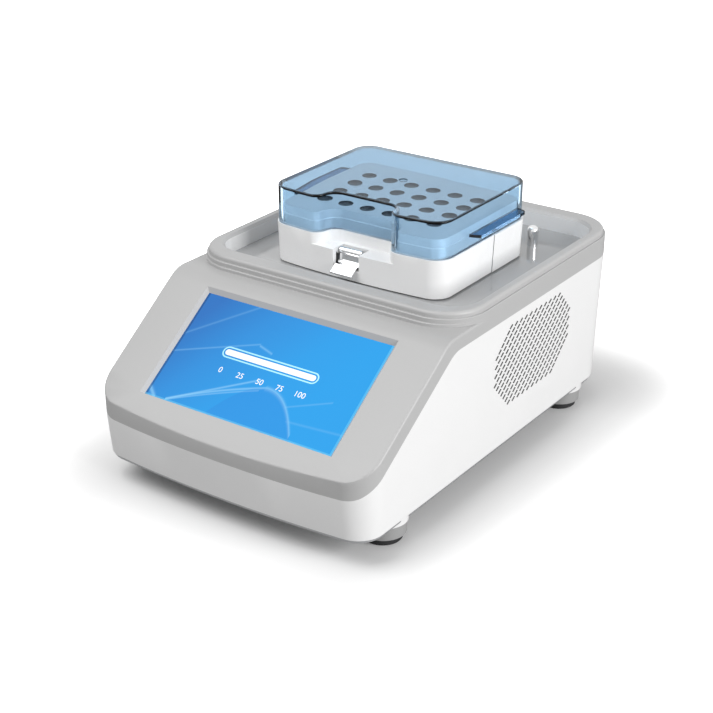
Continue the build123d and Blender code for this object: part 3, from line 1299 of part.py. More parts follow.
ON_TABLE = {
    "heat_sink": heat_sink,
    "peltier_modules": peltier_modules,
    "insulation_frame": insulation_frame,
    "heating_plate": heating_plate,
    "temperature_sensor": temperature_sensor,
    "locating_dowels": locating_dowels,
    "latch_striker": latch_striker,
}


def main():
    """Build every sub-part and write it out."""
    os.makedirs("parts", exist_ok=True)
    for name, make in {**PARTS, **ON_TABLE}.items():
        save(name, make())
    for name, (x, y) in zip(IDLER_NAMES, IDLERS):
        save(f"{name}_crank", idler_crank(x, y))
    for name, side in (("right", 1), ("left", -1)):
        save(f"{name}_fan_frame", fan_frame(side))
        save(f"{name}_fan_rotor", fan_rotor(side))


main()
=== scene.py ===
"""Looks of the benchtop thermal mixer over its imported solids. Metres, +Z up, the console faces -Y."""

import json
import math

import bmesh
import bpy
from mathutils import Matrix, Vector


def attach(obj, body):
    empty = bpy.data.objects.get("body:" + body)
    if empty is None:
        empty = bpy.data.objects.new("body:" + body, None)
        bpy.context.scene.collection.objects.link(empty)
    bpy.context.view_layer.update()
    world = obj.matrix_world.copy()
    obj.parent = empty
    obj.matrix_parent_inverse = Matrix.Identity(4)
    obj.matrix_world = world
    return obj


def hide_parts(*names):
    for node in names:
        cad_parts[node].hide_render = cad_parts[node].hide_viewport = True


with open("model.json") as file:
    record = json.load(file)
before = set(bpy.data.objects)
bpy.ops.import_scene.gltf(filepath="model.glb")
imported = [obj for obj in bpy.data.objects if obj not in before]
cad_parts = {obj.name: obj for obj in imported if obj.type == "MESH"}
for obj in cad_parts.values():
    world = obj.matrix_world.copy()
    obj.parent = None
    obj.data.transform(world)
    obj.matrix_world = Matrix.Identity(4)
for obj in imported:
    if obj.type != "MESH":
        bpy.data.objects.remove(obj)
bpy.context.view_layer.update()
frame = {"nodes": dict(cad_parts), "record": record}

MM = 0.001

# ---- viewpoint ----
CAMERA_PLACE = (0.58954, -0.85970, 0.54608)
CAMERA_AZIMUTH = 34.82
CAMERA_ELEVATION = 24.99
CAMERA_ROLL = 0.15
PICTURE_SIDE = 713
FOCAL_LENGTH_PIXELS = 1590.0
SENSOR_WIDTH = 36.0
CAMERA_REACH = 20.0

# ---- display, in the solids' own sizes ----
CONSOLE_SLOPE = math.radians(34.8)
SCREEN_WIDTH = 154.1 * MM
SCREEN_HEIGHT = 85.9 * MM
SCREEN_CENTRE = (0.0, -115.80 * MM, 94.30 * MM)
PRINT_LIFT = 0.05 * MM
PRINT_THICKNESS = 0.04 * MM
BAR_CENTRE = (0.0, 4.4 * MM)
BAR_LENGTH = 79.4 * MM
BAR_HEIGHT = 8.8 * MM
BAR_STROKE = 1.0 * MM
BAR_FILL_INSET = 2.2 * MM
BAR_END_STEPS = 20
SCALE_Y = -9.8 * MM
SCALE_HALF = 33.0 * MM
SCALE_SIZE = 6.0 * MM
SCALE_TEXTS = ("0", "25", "50", "75", "100")

# ---- surface of the merged copies ----
MERGE_DISTANCE = 0.002 * MM
SHORTEST_EDGE = 0.001 * MM
CREASE_ANGLE = 28.0
LID_CREASE_ANGLE = 20.0

# ---- regions of the solids that get a second finish, mostly painted shade or painted light ----
VENT_CENTRE = (41.9 * MM, 80.6 * MM)
VENT_HALF = (53.0 * MM, 32.5 * MM)
VENT_WALL_X = 107.0 * MM
SLOT_WIDEN = 0.70 * MM
LID_TOP = 181.7 * MM
LID_FILLET = 1.25 * MM
LID_FLAT_SKIN = 0.005 * MM
BLOCK_TOP = 167.4 * MM
WELL_HALF_WIDTH = 104.8 * MM
WELL_Y = (-43.8 * MM, 153.6 * MM)
WELL_WALL_TOP = 136.0 * MM
CARRIER_SPLIT = 51.7 * MM
CARRIER_SPLIT_HALF = 0.6 * MM
TAB_ROOT_X = 72.3 * MM
TAB_LOW = 161.0 * MM
TAB_HIGH = 165.0 * MM
BORE_FIELD_X = 53.0 * MM
BORE_FIELD_Y = (8.4 * MM, 77.4 * MM)
BORE_FLOOR = 133.2 * MM
BORE_SHADE_DEPTH = 7.0 * MM
BORE_RIM = 0.02 * MM

# ---- limits on one part of a face's unit normal ----
SLOT_WALL_MOST_X = 0.5
SPLIT_LEAST_Y = 0.9
LID_EDGE_MOST_Z = 0.985
TAB_END_LEAST_Y = 0.6
WELL_WALL_MOST_Z = 0.7

# ---- colours, linear ----
WHITE_PLASTIC = (0.80, 0.80, 0.80)
GREY_PLASTIC = (0.44, 0.44, 0.44)
FLOOR_GREY = (0.40, 0.405, 0.41)
# the next grey is painted shade: it colours the walls inside the side vents' slots in place of the shade
# that falls in them
SLOT_PAINTED_SHADE = (0.29, 0.29, 0.29)
# the next grey is painted shade on the faces in the carrier's parting line, for the shade in that narrow
# gap
SPLIT_PAINTED_SHADE = (0.10, 0.10, 0.10)
LID_BLUE = (0.39, 0.505, 0.60)
# the next colour is painted shade: a near-black tint on the lid's rounded upper edge that draws its dark
# edge lines
LID_EDGE_PAINTED_DARK = (0.05, 0.07, 0.09)
LID_TAB_BLUE = (0.20, 0.34, 0.52)
BEAM_BLUE = (0.30, 0.68, 1.0)
SWEEP_BLUE = (0.01, 0.20, 0.70)
# the next blue is a painted shadow along the left edge of the display's picture
SCREEN_SHADOW_BLUE = (0.01, 0.06, 0.20)
RIM_BLUE = (0.20, 0.75, 1.0)

# ---- picture on the display: places across and up it run from 0 to 1 ----
SCREEN_STOPS = (
    (0.0, (0.028, 0.180, 0.560)),
    (0.35, (0.020, 0.280, 0.740)),
    (0.7, (0.008, 0.345, 0.840)),
    (1.0, (0.004, 0.360, 0.860)),
)
# SCREEN_SHADE is the width of the painted shadow along the left edge; SCREEN_RIM that of the lighter rim at
# the right and bottom edges
SCREEN_SHADE = 0.010
SCREEN_RIM = 0.008
# the two curves over the dark sweep: level, slope, bend
SWEEP_LEFT = (-0.107, 1.12, -0.50)
SWEEP_RIGHT = (-1.804, 7.713, -6.89)
# each beam: level, slope, bend, half width, strength, start, end
SCREEN_BEAMS = (
    (-0.102, 1.02, 0.00, 0.010, 0.55, 0.11, 0.50),
    (*SWEEP_LEFT, 0.010, 0.60, 0.11, 0.543),
    (-0.100, 0.96, -0.30, 0.007, 0.45, 0.11, 0.52),
    (*SWEEP_RIGHT, 0.018, 0.55, 0.543, 0.775),
    (0.077, -1.50, 0.00, 0.020, 0.60, 0.00, 0.055),
    (0.422, 0.69, -0.02, 0.008, 0.30, 0.00, 0.40),
    (0.883, -0.50, 0.00, 0.010, 0.40, 0.40, 0.48),
    (0.594, 1.40, 0.00, 0.012, 0.20, 0.00, 0.31),
    (-0.270, 0.77, 0.00, 0.008, 0.22, 0.68, 0.88),
    (0.060, 0.12, 0.00, 0.010, 0.16, 0.72, 1.00),
)

# ---- floor and lights ----
FLOOR_HALF_SIDE = 6.0
FOOTPRINT_HALF = (0.094, 0.149)
# brightness of the floor that the camera sees, beside the object and far from it
FLOOR_NEAR = 0.90
FLOOR_FAR = 2.60
# the near share of the rise ends FLOOR_FADE from the object, and the rest sqrt(FLOOR_FAR_SPAN) times as far
FLOOR_FADE = 0.10
FLOOR_NEAR_SHARE = 0.31
FLOOR_FAR_SPAN = 6.0
FLOOR_BOUNCE = 0.34
SKY_FILL = 0.4
# each lamp: name, place, target, side, power
LAMPS = (
    ("key_right", (2.0, -0.20, 0.7), (0.0, 0.0, 0.08), 1.2, 37.5),
    ("top_soft", (-0.4, -0.55, 1.0), (0.0, -0.05, 0.1), 0.8, 7.5),
)


# ---------------------------------------------------------------- materials

class Value:
    """A socket that adds maths nodes when it is used in an expression."""

    def __init__(self, tree, socket):
        self.tree = tree
        self.socket = socket

    def _math(self, operation, first, second=None, clamp=False):
        node = self.tree.nodes.new("ShaderNodeMath")
        node.operation = operation
        node.use_clamp = clamp
        for slot, value in zip(node.inputs, (first, second)):
            if isinstance(value, Value):
                self.tree.links.new(value.socket, slot)
            elif value is not None:
                slot.default_value = value
        return Value(self.tree, node.outputs[0])

    def __add__(self, other):
        return self._math("ADD", self, other)

    __radd__ = __add__

    def __sub__(self, other):
        return self._math("SUBTRACT", self, other)

    def __rsub__(self, other):
        return self._math("SUBTRACT", other, self)

    def __mul__(self, other):
        return self._math("MULTIPLY", self, other)

    __rmul__ = __mul__

    def __truediv__(self, other):
        return self._math("DIVIDE", self, other)

    def sine(self):
        return self._math("SINE", self)

    def size(self):
        """This value without its sign."""
        return self._math("ABSOLUTE", self)

    def power(self, exponent):
        return self._math("POWER", self, exponent)

    def falloff(self):
        """e to the minus this value."""
        return self._math("EXPONENT", self * -1.0)

    def clamped(self):
        """This value kept between 0 and 1."""
        return self._math("ADD", self, 0.0, clamp=True)

    def above(self, level):
        """1 where this value is above a level, and 0 elsewhere."""
        return self._math("GREATER_THAN", self, level)


class Shader:
    """One node material being built."""

    def __init__(self, name):
        self.material = bpy.data.materials.new(name)
        self.material.use_nodes = True
        self.tree = self.material.node_tree
        self.surface = self.tree.nodes["Principled BSDF"]
        self.output = self.tree.nodes["Material Output"]

    def node(self, kind, settings=None, **values):
        """Add a node, set its settings first, then the values or links of its inputs."""
        node = self.tree.nodes.new(kind)
        for key, value in (settings or {}).items():
            if key == "stops":
                ramp = node.color_ramp
                while len(ramp.elements) < len(value):
                    ramp.elements.new(0.5)
                for element, (place, colour) in zip(ramp.elements, value):
                    element.position = place
                    element.color = (*colour, 1.0)
            else:
                setattr(node, key, value)
        for key, value in values.items():
            self.put(node.inputs[key.replace("_", " ")], value)
        return node

    def put(self, socket, value):
        """Link a value to a socket, or set it as a constant."""
        if isinstance(value, Value):
            self.tree.links.new(value.socket, socket)
        elif hasattr(value, "is_output"):
            self.tree.links.new(value, socket)
        elif isinstance(value, tuple) and len(value) == 3 and len(socket.default_value) == 4:
            socket.default_value = (*value, 1.0)
        else:
            socket.default_value = value

    def set(self, **values):
        """Set or link inputs of the surface shader."""
        for key, value in values.items():
            self.put(self.surface.inputs[key.replace("_", " ")], value)
        return self

    def object_place(self, scale=(1.0, 1.0, 1.0), turn=(0.0, 0.0, 0.0)):
        """Object coordinates, stretched and turned by a mapping."""
        coordinates = self.node("ShaderNodeTexCoord").outputs["Object"]
        mapping = self.node("ShaderNodeMapping", Vector=coordinates, Scale=scale, Rotation=turn)
        return mapping.outputs[0]

    def noise(self, scale, detail=2.0, stretch=(1.0, 1.0, 1.0)):
        """Noise between 0 and 1 over the object."""
        place = self.object_place(stretch)
        node = self.node("ShaderNodeTexNoise", Vector=place, Scale=scale, Detail=detail)
        return Value(self.tree, node.outputs[0])

    def mix(self, factor, first, second):
        """Colour between two colours."""
        node = self.node("ShaderNodeMix", {"data_type": "RGBA"})
        self.put(node.inputs[0], factor)
        self.put(node.inputs[6], first)
        self.put(node.inputs[7], second)
        return node.outputs[2]

    def bump(self, height, depth):
        """Fine relief on the surface."""
        node = self.node("ShaderNodeBump", Height=height, Distance=depth, Strength=1.0)
        return self.set(Normal=node.outputs[0])

    def blend(self, factor, first, second):
        """A shader between two shaders."""
        node = self.node("ShaderNodeMixShader")
        for socket, value in zip(node.inputs, (factor, first, second)):
            self.put(socket, value)
        return node.outputs[0]

    def finished(self, shader):
        """The material, with a shader as its surface."""
        self.tree.links.new(shader, self.output.inputs["Surface"])
        return self.material


def shade(colour, factor):
    """A lighter or darker version of a colour."""
    return tuple(min(1.0, part * factor) for part in colour)


def moulded_plastic(name, colour, roughness, grain=0.004, gloss=0.5):
    """Injection-moulded plastic with a fine eroded texture. Its colour is painted shade on the vents' slot
    walls and painted light on the well wall.
    """
    made = Shader(name)
    clouds = made.noise(18.0, 3.0)
    grains = made.noise(2600.0, 1.0)
    made.set(Base_Color=made.mix(clouds, shade(colour, 0.98), shade(colour, 1.02)))
    made.set(Roughness=clouds * 0.08 + grains * 0.06 + (roughness - 0.07), Specular_IOR_Level=gloss)
    made.bump(grains, grain * MM)
    return made.material


def brushed_metal(name, colour, roughness):
    """Metal with fine lines of a tool along X."""
    made = Shader(name)
    lines = made.noise(120.0, 4.0, (1.0, 60.0, 60.0))
    made.set(Base_Color=made.mix(lines, shade(colour, 0.92), shade(colour, 1.06)), Metallic=1.0)
    made.set(Roughness=lines * 0.16 + (roughness - 0.08))
    made.bump(lines, 0.002 * MM)
    return made.material


def cast_metal(name, colour, roughness):
    """Plated or blasted metal with a soft mottle."""
    made = Shader(name)
    mottle = made.noise(700.0, 3.0)
    made.set(Base_Color=made.mix(mottle, shade(colour, 0.94), shade(colour, 1.05)), Metallic=1.0)
    made.set(Roughness=mottle * 0.1 + (roughness - 0.05))
    made.bump(mottle, 0.002 * MM)
    return made.material


def anodised(name, colour):
    """Blasted and anodised aluminium, pale and half matt."""
    made = Shader(name)
    mottle = made.noise(300.0, 3.0)
    made.set(Base_Color=made.mix(mottle, shade(colour, 0.97), shade(colour, 1.02)), Metallic=0.35)
    made.set(Roughness=mottle * 0.08 + 0.34)
    made.bump(mottle, 0.001 * MM)
    return made.material


def rubber(name, colour=(0.012, 0.012, 0.013)):
    """Matt black rubber. Its dark colour is also painted shade in the carrier's parting line and on the
    ends of the lid's finger tabs.
    """
    made = Shader(name)
    grains = made.noise(1500.0, 2.0)
    made.set(Base_Color=made.mix(grains, colour, shade(colour, 1.8)), Roughness=grains * 0.15 + 0.62)
    made.bump(grains, 0.02 * MM)
    return made.material


def clear_moulding(name, colour, bend):
    """Clear tinted moulding with a polished skin; light for the shadows passes straight through it."""
    made = Shader(name)
    flow = made.noise(30.0, 2.0)
    made.set(Base_Color=made.mix(flow, shade(colour, 0.98), shade(colour, 1.02)))
    made.set(Transmission_Weight=1.0, IOR=bend)
    made.set(Roughness=flow * 0.01, Coat_Weight=0.15, Coat_Roughness=0.02, Coat_IOR=1.49)
    through = made.node("ShaderNodeBsdfTransparent", Color=(0.93, 0.96, 0.99)).outputs[0]
    shadow_ray = made.node("ShaderNodeLightPath").outputs["Is Shadow Ray"]
    return made.finished(made.blend(shadow_ray, made.surface.outputs[0], through))


def shaded_bore():
    """Machined wall of a tube hole, with painted shade: darkest just under its rim and lighter deeper down.
    """
    made = Shader("bore_shaded")
    place = made.node("ShaderNodeTexCoord").outputs["Object"]
    height = Value(made.tree, made.node("ShaderNodeSeparateXYZ", Vector=place).outputs[2])
    depth = ((height - BLOCK_TOP) / -BORE_SHADE_DEPTH).clamped()
    rings = made.noise(60.0, 2.0, (1.0, 1.0, 40.0))
    made.set(Base_Color=made.mix(depth.power(1.2), (0.010, 0.010, 0.011), (0.66, 0.68, 0.70)))
    made.set(Metallic=0.3, Roughness=rings * 0.1 + 0.4)
    return made.material


def circuit_board(name):
    """Green solder mask."""
    made = Shader(name)
    traces = made.noise(400.0, 1.0, (1.0, 8.0, 1.0))
    made.set(Base_Color=made.mix(traces, (0.01, 0.09, 0.03), (0.02, 0.16, 0.06)))
    made.set(Roughness=traces * 0.1 + 0.35)
    made.bump(traces, 0.02 * MM)
    return made.material


def beam_height(across, level, slope, bend):
    """How far up the display a curved beam is at a place across it."""
    return across * slope + level + across * across * bend


def lit_screen():
    """Blue picture of the display: a gradient, thin curved beams, a darker sweep under two of them, a
    painted shadow along its left edge and a lighter rim at its right and bottom edges.
    """
    made = Shader("screen_picture")
    uv = made.node("ShaderNodeUVMap", {"uv_map": "picture"}).outputs[0]
    parts = made.node("ShaderNodeSeparateXYZ", Vector=uv).outputs
    across = Value(made.tree, parts[0])
    up = Value(made.tree, parts[1])
    glow = (across * 1.25 - up * 0.42 + 0.24 + (across * 5.0 + 1.0).sine() * 0.05).clamped()
    ramp = made.node("ShaderNodeValToRGB", {"stops": SCREEN_STOPS}, Fac=glow)
    colour = ramp.outputs[0]
    for level, slope, bend, width, strength, start, end in SCREEN_BEAMS:
        distance = (up - beam_height(across, level, slope, bend)).size() / width
        inside = (across - start).above(0.0) * (1 - (across - end).above(0.0))
        beam = (distance * distance).falloff() * inside * strength
        colour = made.mix(beam.clamped(), colour, BEAM_BLUE)
    under_left = (beam_height(across, *SWEEP_LEFT) - up).above(0.0)
    under_right = (beam_height(across, *SWEEP_RIGHT) - up).above(0.0)
    colour = made.mix(under_left * under_right * 0.30, colour, SWEEP_BLUE)
    # painted shadow: the left edge of the picture is darkened
    colour = made.mix((1 - across.above(SCREEN_SHADE)) * 0.6, colour, SCREEN_SHADOW_BLUE)
    rim = (across.above(1.0 - SCREEN_RIM) + (1 - up.above(SCREEN_RIM * 1.5))).clamped()
    colour = made.mix(rim * 0.35, colour, RIM_BLUE)
    made.set(Base_Color=(0.006, 0.010, 0.016), Roughness=across * 0.02 + 0.20, Specular_IOR_Level=0.08)
    made.set(Emission_Color=colour, Emission_Strength=0.97)
    return made.material


def lit_print(name, colour, strength):
    """A lit part of the display picture."""
    made = Shader(name)
    cells = made.noise(900.0, 1.0)
    made.set(Base_Color=(0.02, 0.02, 0.02), Roughness=0.2)
    made.set(Emission_Color=made.mix(cells, shade(colour, 0.98), colour), Emission_Strength=strength)
    return made.material


# ---------------------------------------------------------------- pieces

def merged_copy(node, name, crease):
    """A node's surface as one closed mesh, smooth across its round faces and crisp at its edges."""
    mesh = frame["nodes"][node].data.copy()
    mesh.name = name
    cage = bmesh.new()
    cage.from_mesh(mesh)
    bmesh.ops.remove_doubles(cage, verts=cage.verts, dist=MERGE_DISTANCE)
    bmesh.ops.dissolve_degenerate(cage, edges=cage.edges, dist=SHORTEST_EDGE)
    for face in cage.faces:
        face.smooth = True
    for edge in cage.edges:
        edge.smooth = len(edge.link_faces) == 2 and edge.calc_face_angle(0.0) < math.radians(crease)
    cage.to_mesh(mesh)
    cage.free()
    if mesh.has_custom_normals:
        mesh.normals_split_custom_set([(0, 0, 0)] * len(mesh.loops))
    piece = bpy.data.objects.new(name, mesh)
    bpy.context.scene.collection.objects.link(piece)
    return piece


def dress(piece, material):
    """Give a piece one material."""
    piece.data.materials.clear()
    piece.data.materials.append(material)
    return piece


def body_name(node):
    """The body that a node belongs to."""
    return next(body for body, nodes in frame["record"]["behaviour"]["bodies"].items() if node in nodes)


def slot_name(node):
    """The record's material slot of a node."""
    return next(part["material_slot"] for part in frame["record"]["subparts"] if part["node"] == node)


def reskin(node, material, crease=CREASE_ANGLE):
    """Show a node as its smooth merged surface in a finish of its own."""
    piece = dress(merged_copy(node, f"{node}_surface", crease), material)
    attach(piece, body_name(node))
    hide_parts(node)
    return piece


def second_finish(piece, material, chosen):
    """Give the faces that a test picks a second material. The test gets each face's middle and normal."""
    piece.data.materials.append(material)
    index = len(piece.data.materials) - 1
    for face in piece.data.polygons:
        if chosen(face.center, face.normal):
            face.material_index = index


def widen_slots(housing):
    """Move the long walls of the vents' slots apart."""
    away = {}
    for face in housing.data.polygons:
        if is_slot_wall(face.center, face.normal):
            outward = Vector((0.0, face.normal.y, face.normal.z)).normalized()
            for index in face.vertices:
                away[index] = away.get(index, Vector()) + outward
    for index, push in away.items():
        housing.data.vertices[index].co.y -= push.normalized().y * SLOT_WIDEN


def is_slot_wall(centre, normal):
    """A wall inside one of the side vents' slots."""
    in_length = abs(centre.y - VENT_CENTRE[0]) < VENT_HALF[0]
    in_height = abs(centre.z - VENT_CENTRE[1]) < VENT_HALF[1]
    return in_length and in_height and abs(centre.x) > VENT_WALL_X and abs(normal.x) < SLOT_WALL_MOST_X


def is_bore_wall(centre, normal):
    """A wall inside one of the tube holes."""
    deep = BORE_FLOOR < centre.z < BLOCK_TOP - BORE_RIM
    return deep and abs(centre.x) < BORE_FIELD_X and BORE_FIELD_Y[0] < centre.y < BORE_FIELD_Y[1]


def is_split_face(centre, normal):
    """A face in the parting line of the carrier's two parts."""
    return abs(centre.y - CARRIER_SPLIT) < CARRIER_SPLIT_HALF and abs(normal.y) > SPLIT_LEAST_Y


def is_lid_edge(centre, normal):
    """The rounded upper edge of the lid."""
    return LID_TOP - LID_FILLET < centre.z < LID_TOP - LID_FLAT_SKIN and abs(normal.z) < LID_EDGE_MOST_Z


def is_lid_tab(centre, normal):
    """A finger tab on the side of the lid."""
    return abs(centre.x) > TAB_ROOT_X and TAB_LOW < centre.z < TAB_HIGH


def is_tab_end(centre, normal):
    """A slanting end of a finger tab."""
    return is_lid_tab(centre, normal) and abs(normal.y) > TAB_END_LEAST_Y


def is_well_wall(centre, normal):
    """The upright wall of the opening around the well."""
    inside = abs(centre.x) < WELL_HALF_WIDTH and WELL_Y[0] < centre.y < WELL_Y[1]
    return inside and centre.z < WELL_WALL_TOP and abs(normal.z) < WELL_WALL_MOST_Z


def on_screen(across, up, lift=0.0):
    """Frame on the display: x across, y up the slope, z out of it."""
    tilt = Matrix.Rotation(CONSOLE_SLOPE, 4, "X")
    return Matrix.Translation(SCREEN_CENTRE) @ tilt @ Matrix.Translation((across, up, lift))


def picture_map(piece):
    """Map the display's picture over its visible area."""
    flat = on_screen(0.0, 0.0).inverted()
    layer = piece.data.uv_layers.new(name="picture")
    for loop in piece.data.loops:
        place = flat @ piece.data.vertices[loop.vertex_index].co
        layer.data[loop.index].uv = (place.x / SCREEN_WIDTH + 0.5, place.y / SCREEN_HEIGHT + 0.5)


def stadium(length, height):
    """Outline of a bar with round ends, counter-clockwise."""
    radius = height / 2
    half = length / 2 - radius
    outline = []
    for side, start in ((1, -90), (-1, 90)):
        for step in range(BAR_END_STEPS + 1):
            angle = math.radians(start + step * 180 / BAR_END_STEPS)
            outline.append((side * half + radius * math.cos(angle), radius * math.sin(angle)))
    return outline


def lit_plate(name, outline, hole, material, place):
    """Thin lit shape on the display, with an inner outline cut out where one is given."""
    cage = bmesh.new()
    rings = []
    for points in (outline, hole) if hole else (outline,):
        low = [cage.verts.new((x, y, 0.0)) for x, y in points]
        high = [cage.verts.new((x, y, PRINT_THICKNESS)) for x, y in points]
        rings.append((low, high))
    count = len(outline)
    for index, (low, high) in enumerate(rings):
        for i in range(count):
            j = (i + 1) % count
            wall = (low[i], low[j], high[j], high[i])
            cage.faces.new(wall if index == 0 else wall[::-1])
    if hole:
        (low_out, high_out), (low_in, high_in) = rings
        for i in range(count):
            j = (i + 1) % count
            cage.faces.new((high_out[i], high_out[j], high_in[j], high_in[i]))
            cage.faces.new((low_out[j], low_out[i], low_in[i], low_in[j]))
    else:
        cage.faces.new(rings[0][1])
        cage.faces.new(rings[0][0][::-1])
    mesh = bpy.data.meshes.new(name)
    cage.to_mesh(mesh)
    cage.free()
    mesh.transform(place)
    return ride_display(name, mesh, material)


def ride_display(name, mesh, material):
    """Add a lit shape that belongs to the display."""
    piece = bpy.data.objects.new(name, mesh)
    bpy.context.scene.collection.objects.link(piece)
    dress(piece, material)
    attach(piece, body_name("display_glass"))
    return piece


def lit_number(name, text, material, place):
    """A number on the display, centred on its place."""
    curve = bpy.data.curves.new(name, "FONT")
    curve.body = text
    curve.size = SCALE_SIZE
    curve.align_x = "CENTER"
    curve.align_y = "CENTER"
    curve.extrude = PRINT_THICKNESS / 2
    source = bpy.data.objects.new(f"{name}_source", curve)
    bpy.context.scene.collection.objects.link(source)
    bpy.context.view_layer.update()
    mesh = bpy.data.meshes.new_from_object(source.evaluated_get(bpy.context.evaluated_depsgraph_get()))
    mesh.name = name
    bpy.data.objects.remove(source)
    mesh.transform(place)
    return ride_display(name, mesh, material)


def build_display():
    """Screen picture with a progress bar and a plain scale of numbers under it."""
    picture_map(reskin("display_glass", finishes["screen_glass"]))
    glow = lit_print("print_white", (1.0, 1.0, 1.0), 0.98)
    rim = lit_print("print_cyan", (0.36, 0.86, 1.0), 0.95)
    place = on_screen(*BAR_CENTRE, PRINT_LIFT)
    inner = stadium(BAR_LENGTH - 2 * BAR_STROKE, BAR_HEIGHT - 2 * BAR_STROKE)
    lit_plate("bar_outline", stadium(BAR_LENGTH, BAR_HEIGHT), inner, rim, place)
    fill = stadium(BAR_LENGTH - 2 * BAR_FILL_INSET, BAR_HEIGHT - 2 * BAR_FILL_INSET)
    lit_plate("bar_fill", fill, None, glow, place)
    for index, text in enumerate(SCALE_TEXTS):
        across = SCALE_HALF * (2 * index / (len(SCALE_TEXTS) - 1) - 1)
        lit_number(f"scale_{text}", text, glow, on_screen(across, SCALE_Y, PRINT_LIFT + PRINT_THICKNESS))


finishes = {
    "white_housing": moulded_plastic("housing_white", WHITE_PLASTIC, 0.42),
    "grey_cover": moulded_plastic("cover_grey", GREY_PLASTIC, 0.40),
    "well_floor": moulded_plastic("well_gloss_grey", FLOOR_GREY, 0.10, grain=0.0005, gloss=0.9),
    "grey_foot": moulded_plastic("foot_grey", (0.33, 0.33, 0.33), 0.5),
    "carrier": moulded_plastic("carrier_white", (0.89, 0.89, 0.89), 0.28, grain=0.001),
    # the well wall's pale grey is painted light: it brightens the upright wall of the opening around the
    # well, which would otherwise lie in shade
    "well_wall": moulded_plastic("well_wall_painted_light", (0.74, 0.74, 0.74), 0.35),
    "black_plastic": moulded_plastic("plastic_black", (0.02, 0.02, 0.02), 0.45),
    "rubber": rubber("rubber_black"),
    "foam": rubber("foam_dark", (0.03, 0.03, 0.03)),
    "steel": brushed_metal("steel_turned", (0.55, 0.55, 0.56), 0.32),
    "bearing": cast_metal("bearing_steel", (0.62, 0.62, 0.63), 0.22),
    "plated_screw": cast_metal("screw_zinc", (0.60, 0.60, 0.58), 0.34),
    "chrome": cast_metal("chrome_bright", (0.84, 0.845, 0.85), 0.16),
    "aluminium": brushed_metal("aluminium_satin", (0.80, 0.81, 0.82), 0.38),
    "display_metal": brushed_metal("display_frame_steel", (0.45, 0.45, 0.46), 0.4),
    "galvanised": cast_metal("steel_galvanised", (0.55, 0.56, 0.57), 0.45),
    "motor": moulded_plastic("motor_black", (0.03, 0.03, 0.032), 0.4),
    "ceramic": moulded_plastic("ceramic_white", (0.80, 0.80, 0.77), 0.5),
    "board": circuit_board("board_green"),
    "lid": clear_moulding("lid_clear_blue", LID_BLUE, 1.12),
    "screen_glass": lit_screen(),
}


def dress_nodes():
    """Give every node the finish of its slot, and the outer ones a smooth surface. Some faces get a second
    finish that is painted shade or painted light.
    """
    for node, solid in frame["nodes"].items():
        dress(solid, finishes[slot_name(node)])
    outer = (
        "lower_housing", "top_cover", "well_floor", "well_post", "base_plate", "foot_rings", "foot_pads",
        "carrier_front", "carrier_rear", "tube_block", "front_latch", "latch_pin", "latch_striker",
        "heating_plate", "power_inlet", "switch_frame", "switch_rocker", "base_screws", "foot_screws",
        "right_fan_frame", "left_fan_frame", "right_fan_rotor", "left_fan_rotor",
    )
    shown = {node: reskin(node, finishes[slot_name(node)]) for node in outer}
    # painted shade: the walls inside the vents' slots get a mid grey
    slot_painted_shade = moulded_plastic("vent_slot_painted_shade", SLOT_PAINTED_SHADE, 0.6)
    second_finish(shown["lower_housing"], slot_painted_shade, is_slot_wall)
    widen_slots(shown["lower_housing"])
    dress(shown["tube_block"], anodised("block_anodised", (0.84, 0.85, 0.86)))
    # painted shade in the tube holes: dark under the rim, lighter deeper down
    second_finish(shown["tube_block"], shaded_bore(), is_bore_wall)
    for node in ("carrier_front", "carrier_rear"):
        # painted shade: the faces in the carrier's parting line get a near-black
        second_finish(shown[node], rubber("split_shade", SPLIT_PAINTED_SHADE), is_split_face)
    lid = reskin("lid", finishes["lid"], LID_CREASE_ANGLE)
    # painted shade: the lid's rounded upper edge gets a near-black tint
    second_finish(lid, clear_moulding("lid_edge_painted_dark", LID_EDGE_PAINTED_DARK, 1.3), is_lid_edge)
    second_finish(lid, clear_moulding("lid_clear_tab", LID_TAB_BLUE, 1.1), is_lid_tab)
    # painted shade: the slanting ends of the finger tabs get a near-black
    second_finish(lid, rubber("lid_tab_end_painted_dark", (0.004, 0.005, 0.007)), is_tab_end)
    # painted light: the upright wall of the opening around the well gets a pale grey
    second_finish(shown["top_cover"], finishes["well_wall"], is_well_wall)


# ---------------------------------------------------------------- stage

def place_camera():
    """Camera at the fitted place and angle."""
    azimuth = math.radians(CAMERA_AZIMUTH)
    elevation = math.radians(CAMERA_ELEVATION)
    level = math.cos(elevation)
    back = Vector((math.sin(azimuth) * level, -math.cos(azimuth) * level, math.sin(elevation)))
    right = Vector((math.cos(azimuth), math.sin(azimuth), 0.0))
    axes = Matrix((right, back.cross(right), back)).transposed().to_4x4()
    camera = bpy.data.objects.new("camera", bpy.data.cameras.new("camera"))
    camera.data.sensor_width = SENSOR_WIDTH
    camera.data.lens = FOCAL_LENGTH_PIXELS / PICTURE_SIDE * SENSOR_WIDTH
    camera.data.clip_end = CAMERA_REACH
    roll = Matrix.Rotation(math.radians(CAMERA_ROLL), 4, "Z")
    camera.matrix_world = Matrix.Translation(CAMERA_PLACE) @ axes @ roll
    bpy.context.scene.collection.objects.link(camera)
    bpy.context.scene.camera = camera


def add_lamp(name, place, target, side, power):
    """Square soft white light that faces a target."""
    lamp = bpy.data.objects.new(name, bpy.data.lights.new(name, "AREA"))
    lamp.data.shape = "SQUARE"
    lamp.data.size = side
    lamp.data.energy = power
    direction = Vector(target) - Vector(place)
    lamp.rotation_euler = direction.to_track_quat("-Z", "Y").to_euler()
    lamp.location = place
    bpy.context.scene.collection.objects.link(lamp)


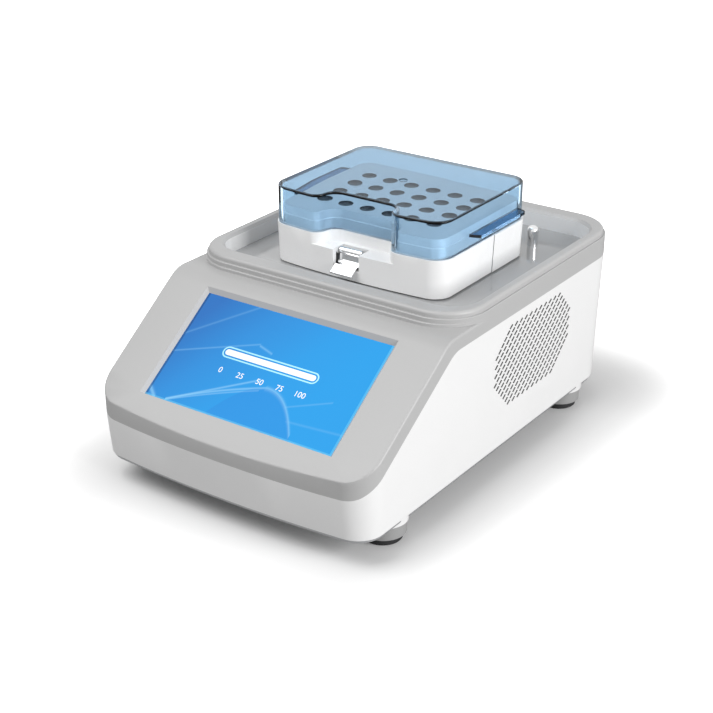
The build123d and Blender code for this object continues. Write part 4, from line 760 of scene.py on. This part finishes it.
def any_ray(tree, names):
    """1 for rays of the named kinds, and 0 for the others."""
    paths = tree.nodes.new("ShaderNodeLightPath").outputs
    total = 0.0
    for name in names:
        total = Value(tree, paths[name]) + total
    return total.clamped()


def pale_floor():
    """Pale floor that is open from beneath.

    Camera and transmission rays see it get lighter away from the object, up to the white background.
    """
    made = Shader("floor_pale")
    made.set(Base_Color=(FLOOR_BOUNCE,) * 3, Roughness=0.9)
    spot = made.node("ShaderNodeTexCoord").outputs["Object"]
    parts = made.node("ShaderNodeSeparateXYZ", Vector=spot).outputs
    sides = [Value(made.tree, parts[index]) for index in (0, 1)]
    away = [(side.size() - half).clamped() / FLOOR_FADE for side, half in zip(sides, FOOTPRINT_HALF)]
    apart = away[0] * away[0] + away[1] * away[1]
    close = apart.clamped()
    soft = close * close * (3 - close * 2)
    rise = soft * FLOOR_NEAR_SHARE + (apart / FLOOR_FAR_SPAN).clamped() * (1 - FLOOR_NEAR_SHARE)
    white = made.mix(rise, (FLOOR_NEAR,) * 3, (FLOOR_FAR,) * 3)
    bright = made.node("ShaderNodeBsdfDiffuse", Color=white).outputs[0]
    seen = any_ray(made.tree, ("Is Camera Ray", "Is Transmission Ray"))
    above = made.blend(seen, made.surface.outputs[0], bright)
    beneath = made.node("ShaderNodeNewGeometry").outputs["Backfacing"]
    return made.finished(made.blend(beneath, above, made.node("ShaderNodeBsdfTransparent").outputs[0]))


def lay_floor():
    """Large square floor under the object."""
    mesh = bpy.data.meshes.new("floor")
    half = FLOOR_HALF_SIDE
    corners = [(-half, -half, 0.0), (half, -half, 0.0), (half, half, 0.0), (-half, half, 0.0)]
    mesh.from_pydata(corners, [], [(0, 1, 2, 3)])
    floor = bpy.data.objects.new("floor", mesh)
    bpy.context.scene.collection.objects.link(floor)
    floor.data.materials.append(pale_floor())


def light_surroundings():
    """White surroundings that give the object only a part of that light."""
    world = bpy.data.worlds.new("surroundings")
    world.use_nodes = True
    bpy.context.scene.world = world
    tree = world.node_tree
    seen = any_ray(tree, ("Is Camera Ray", "Is Glossy Ray", "Is Transmission Ray"))
    strength = seen * (1 - SKY_FILL) + SKY_FILL
    background = tree.nodes["Background"]
    background.inputs["Color"].default_value = (1.0, 1.0, 1.0, 1.0)
    tree.links.new(strength.socket, background.inputs["Strength"])


def build_stage():
    """Floor, surroundings and soft lights."""
    lay_floor()
    light_surroundings()
    for lamp in LAMPS:
        add_lamp(*lamp)


place_camera()
dress_nodes()
build_display()
build_stage()

scene = bpy.context.scene
scene.view_settings.view_transform = "Standard"
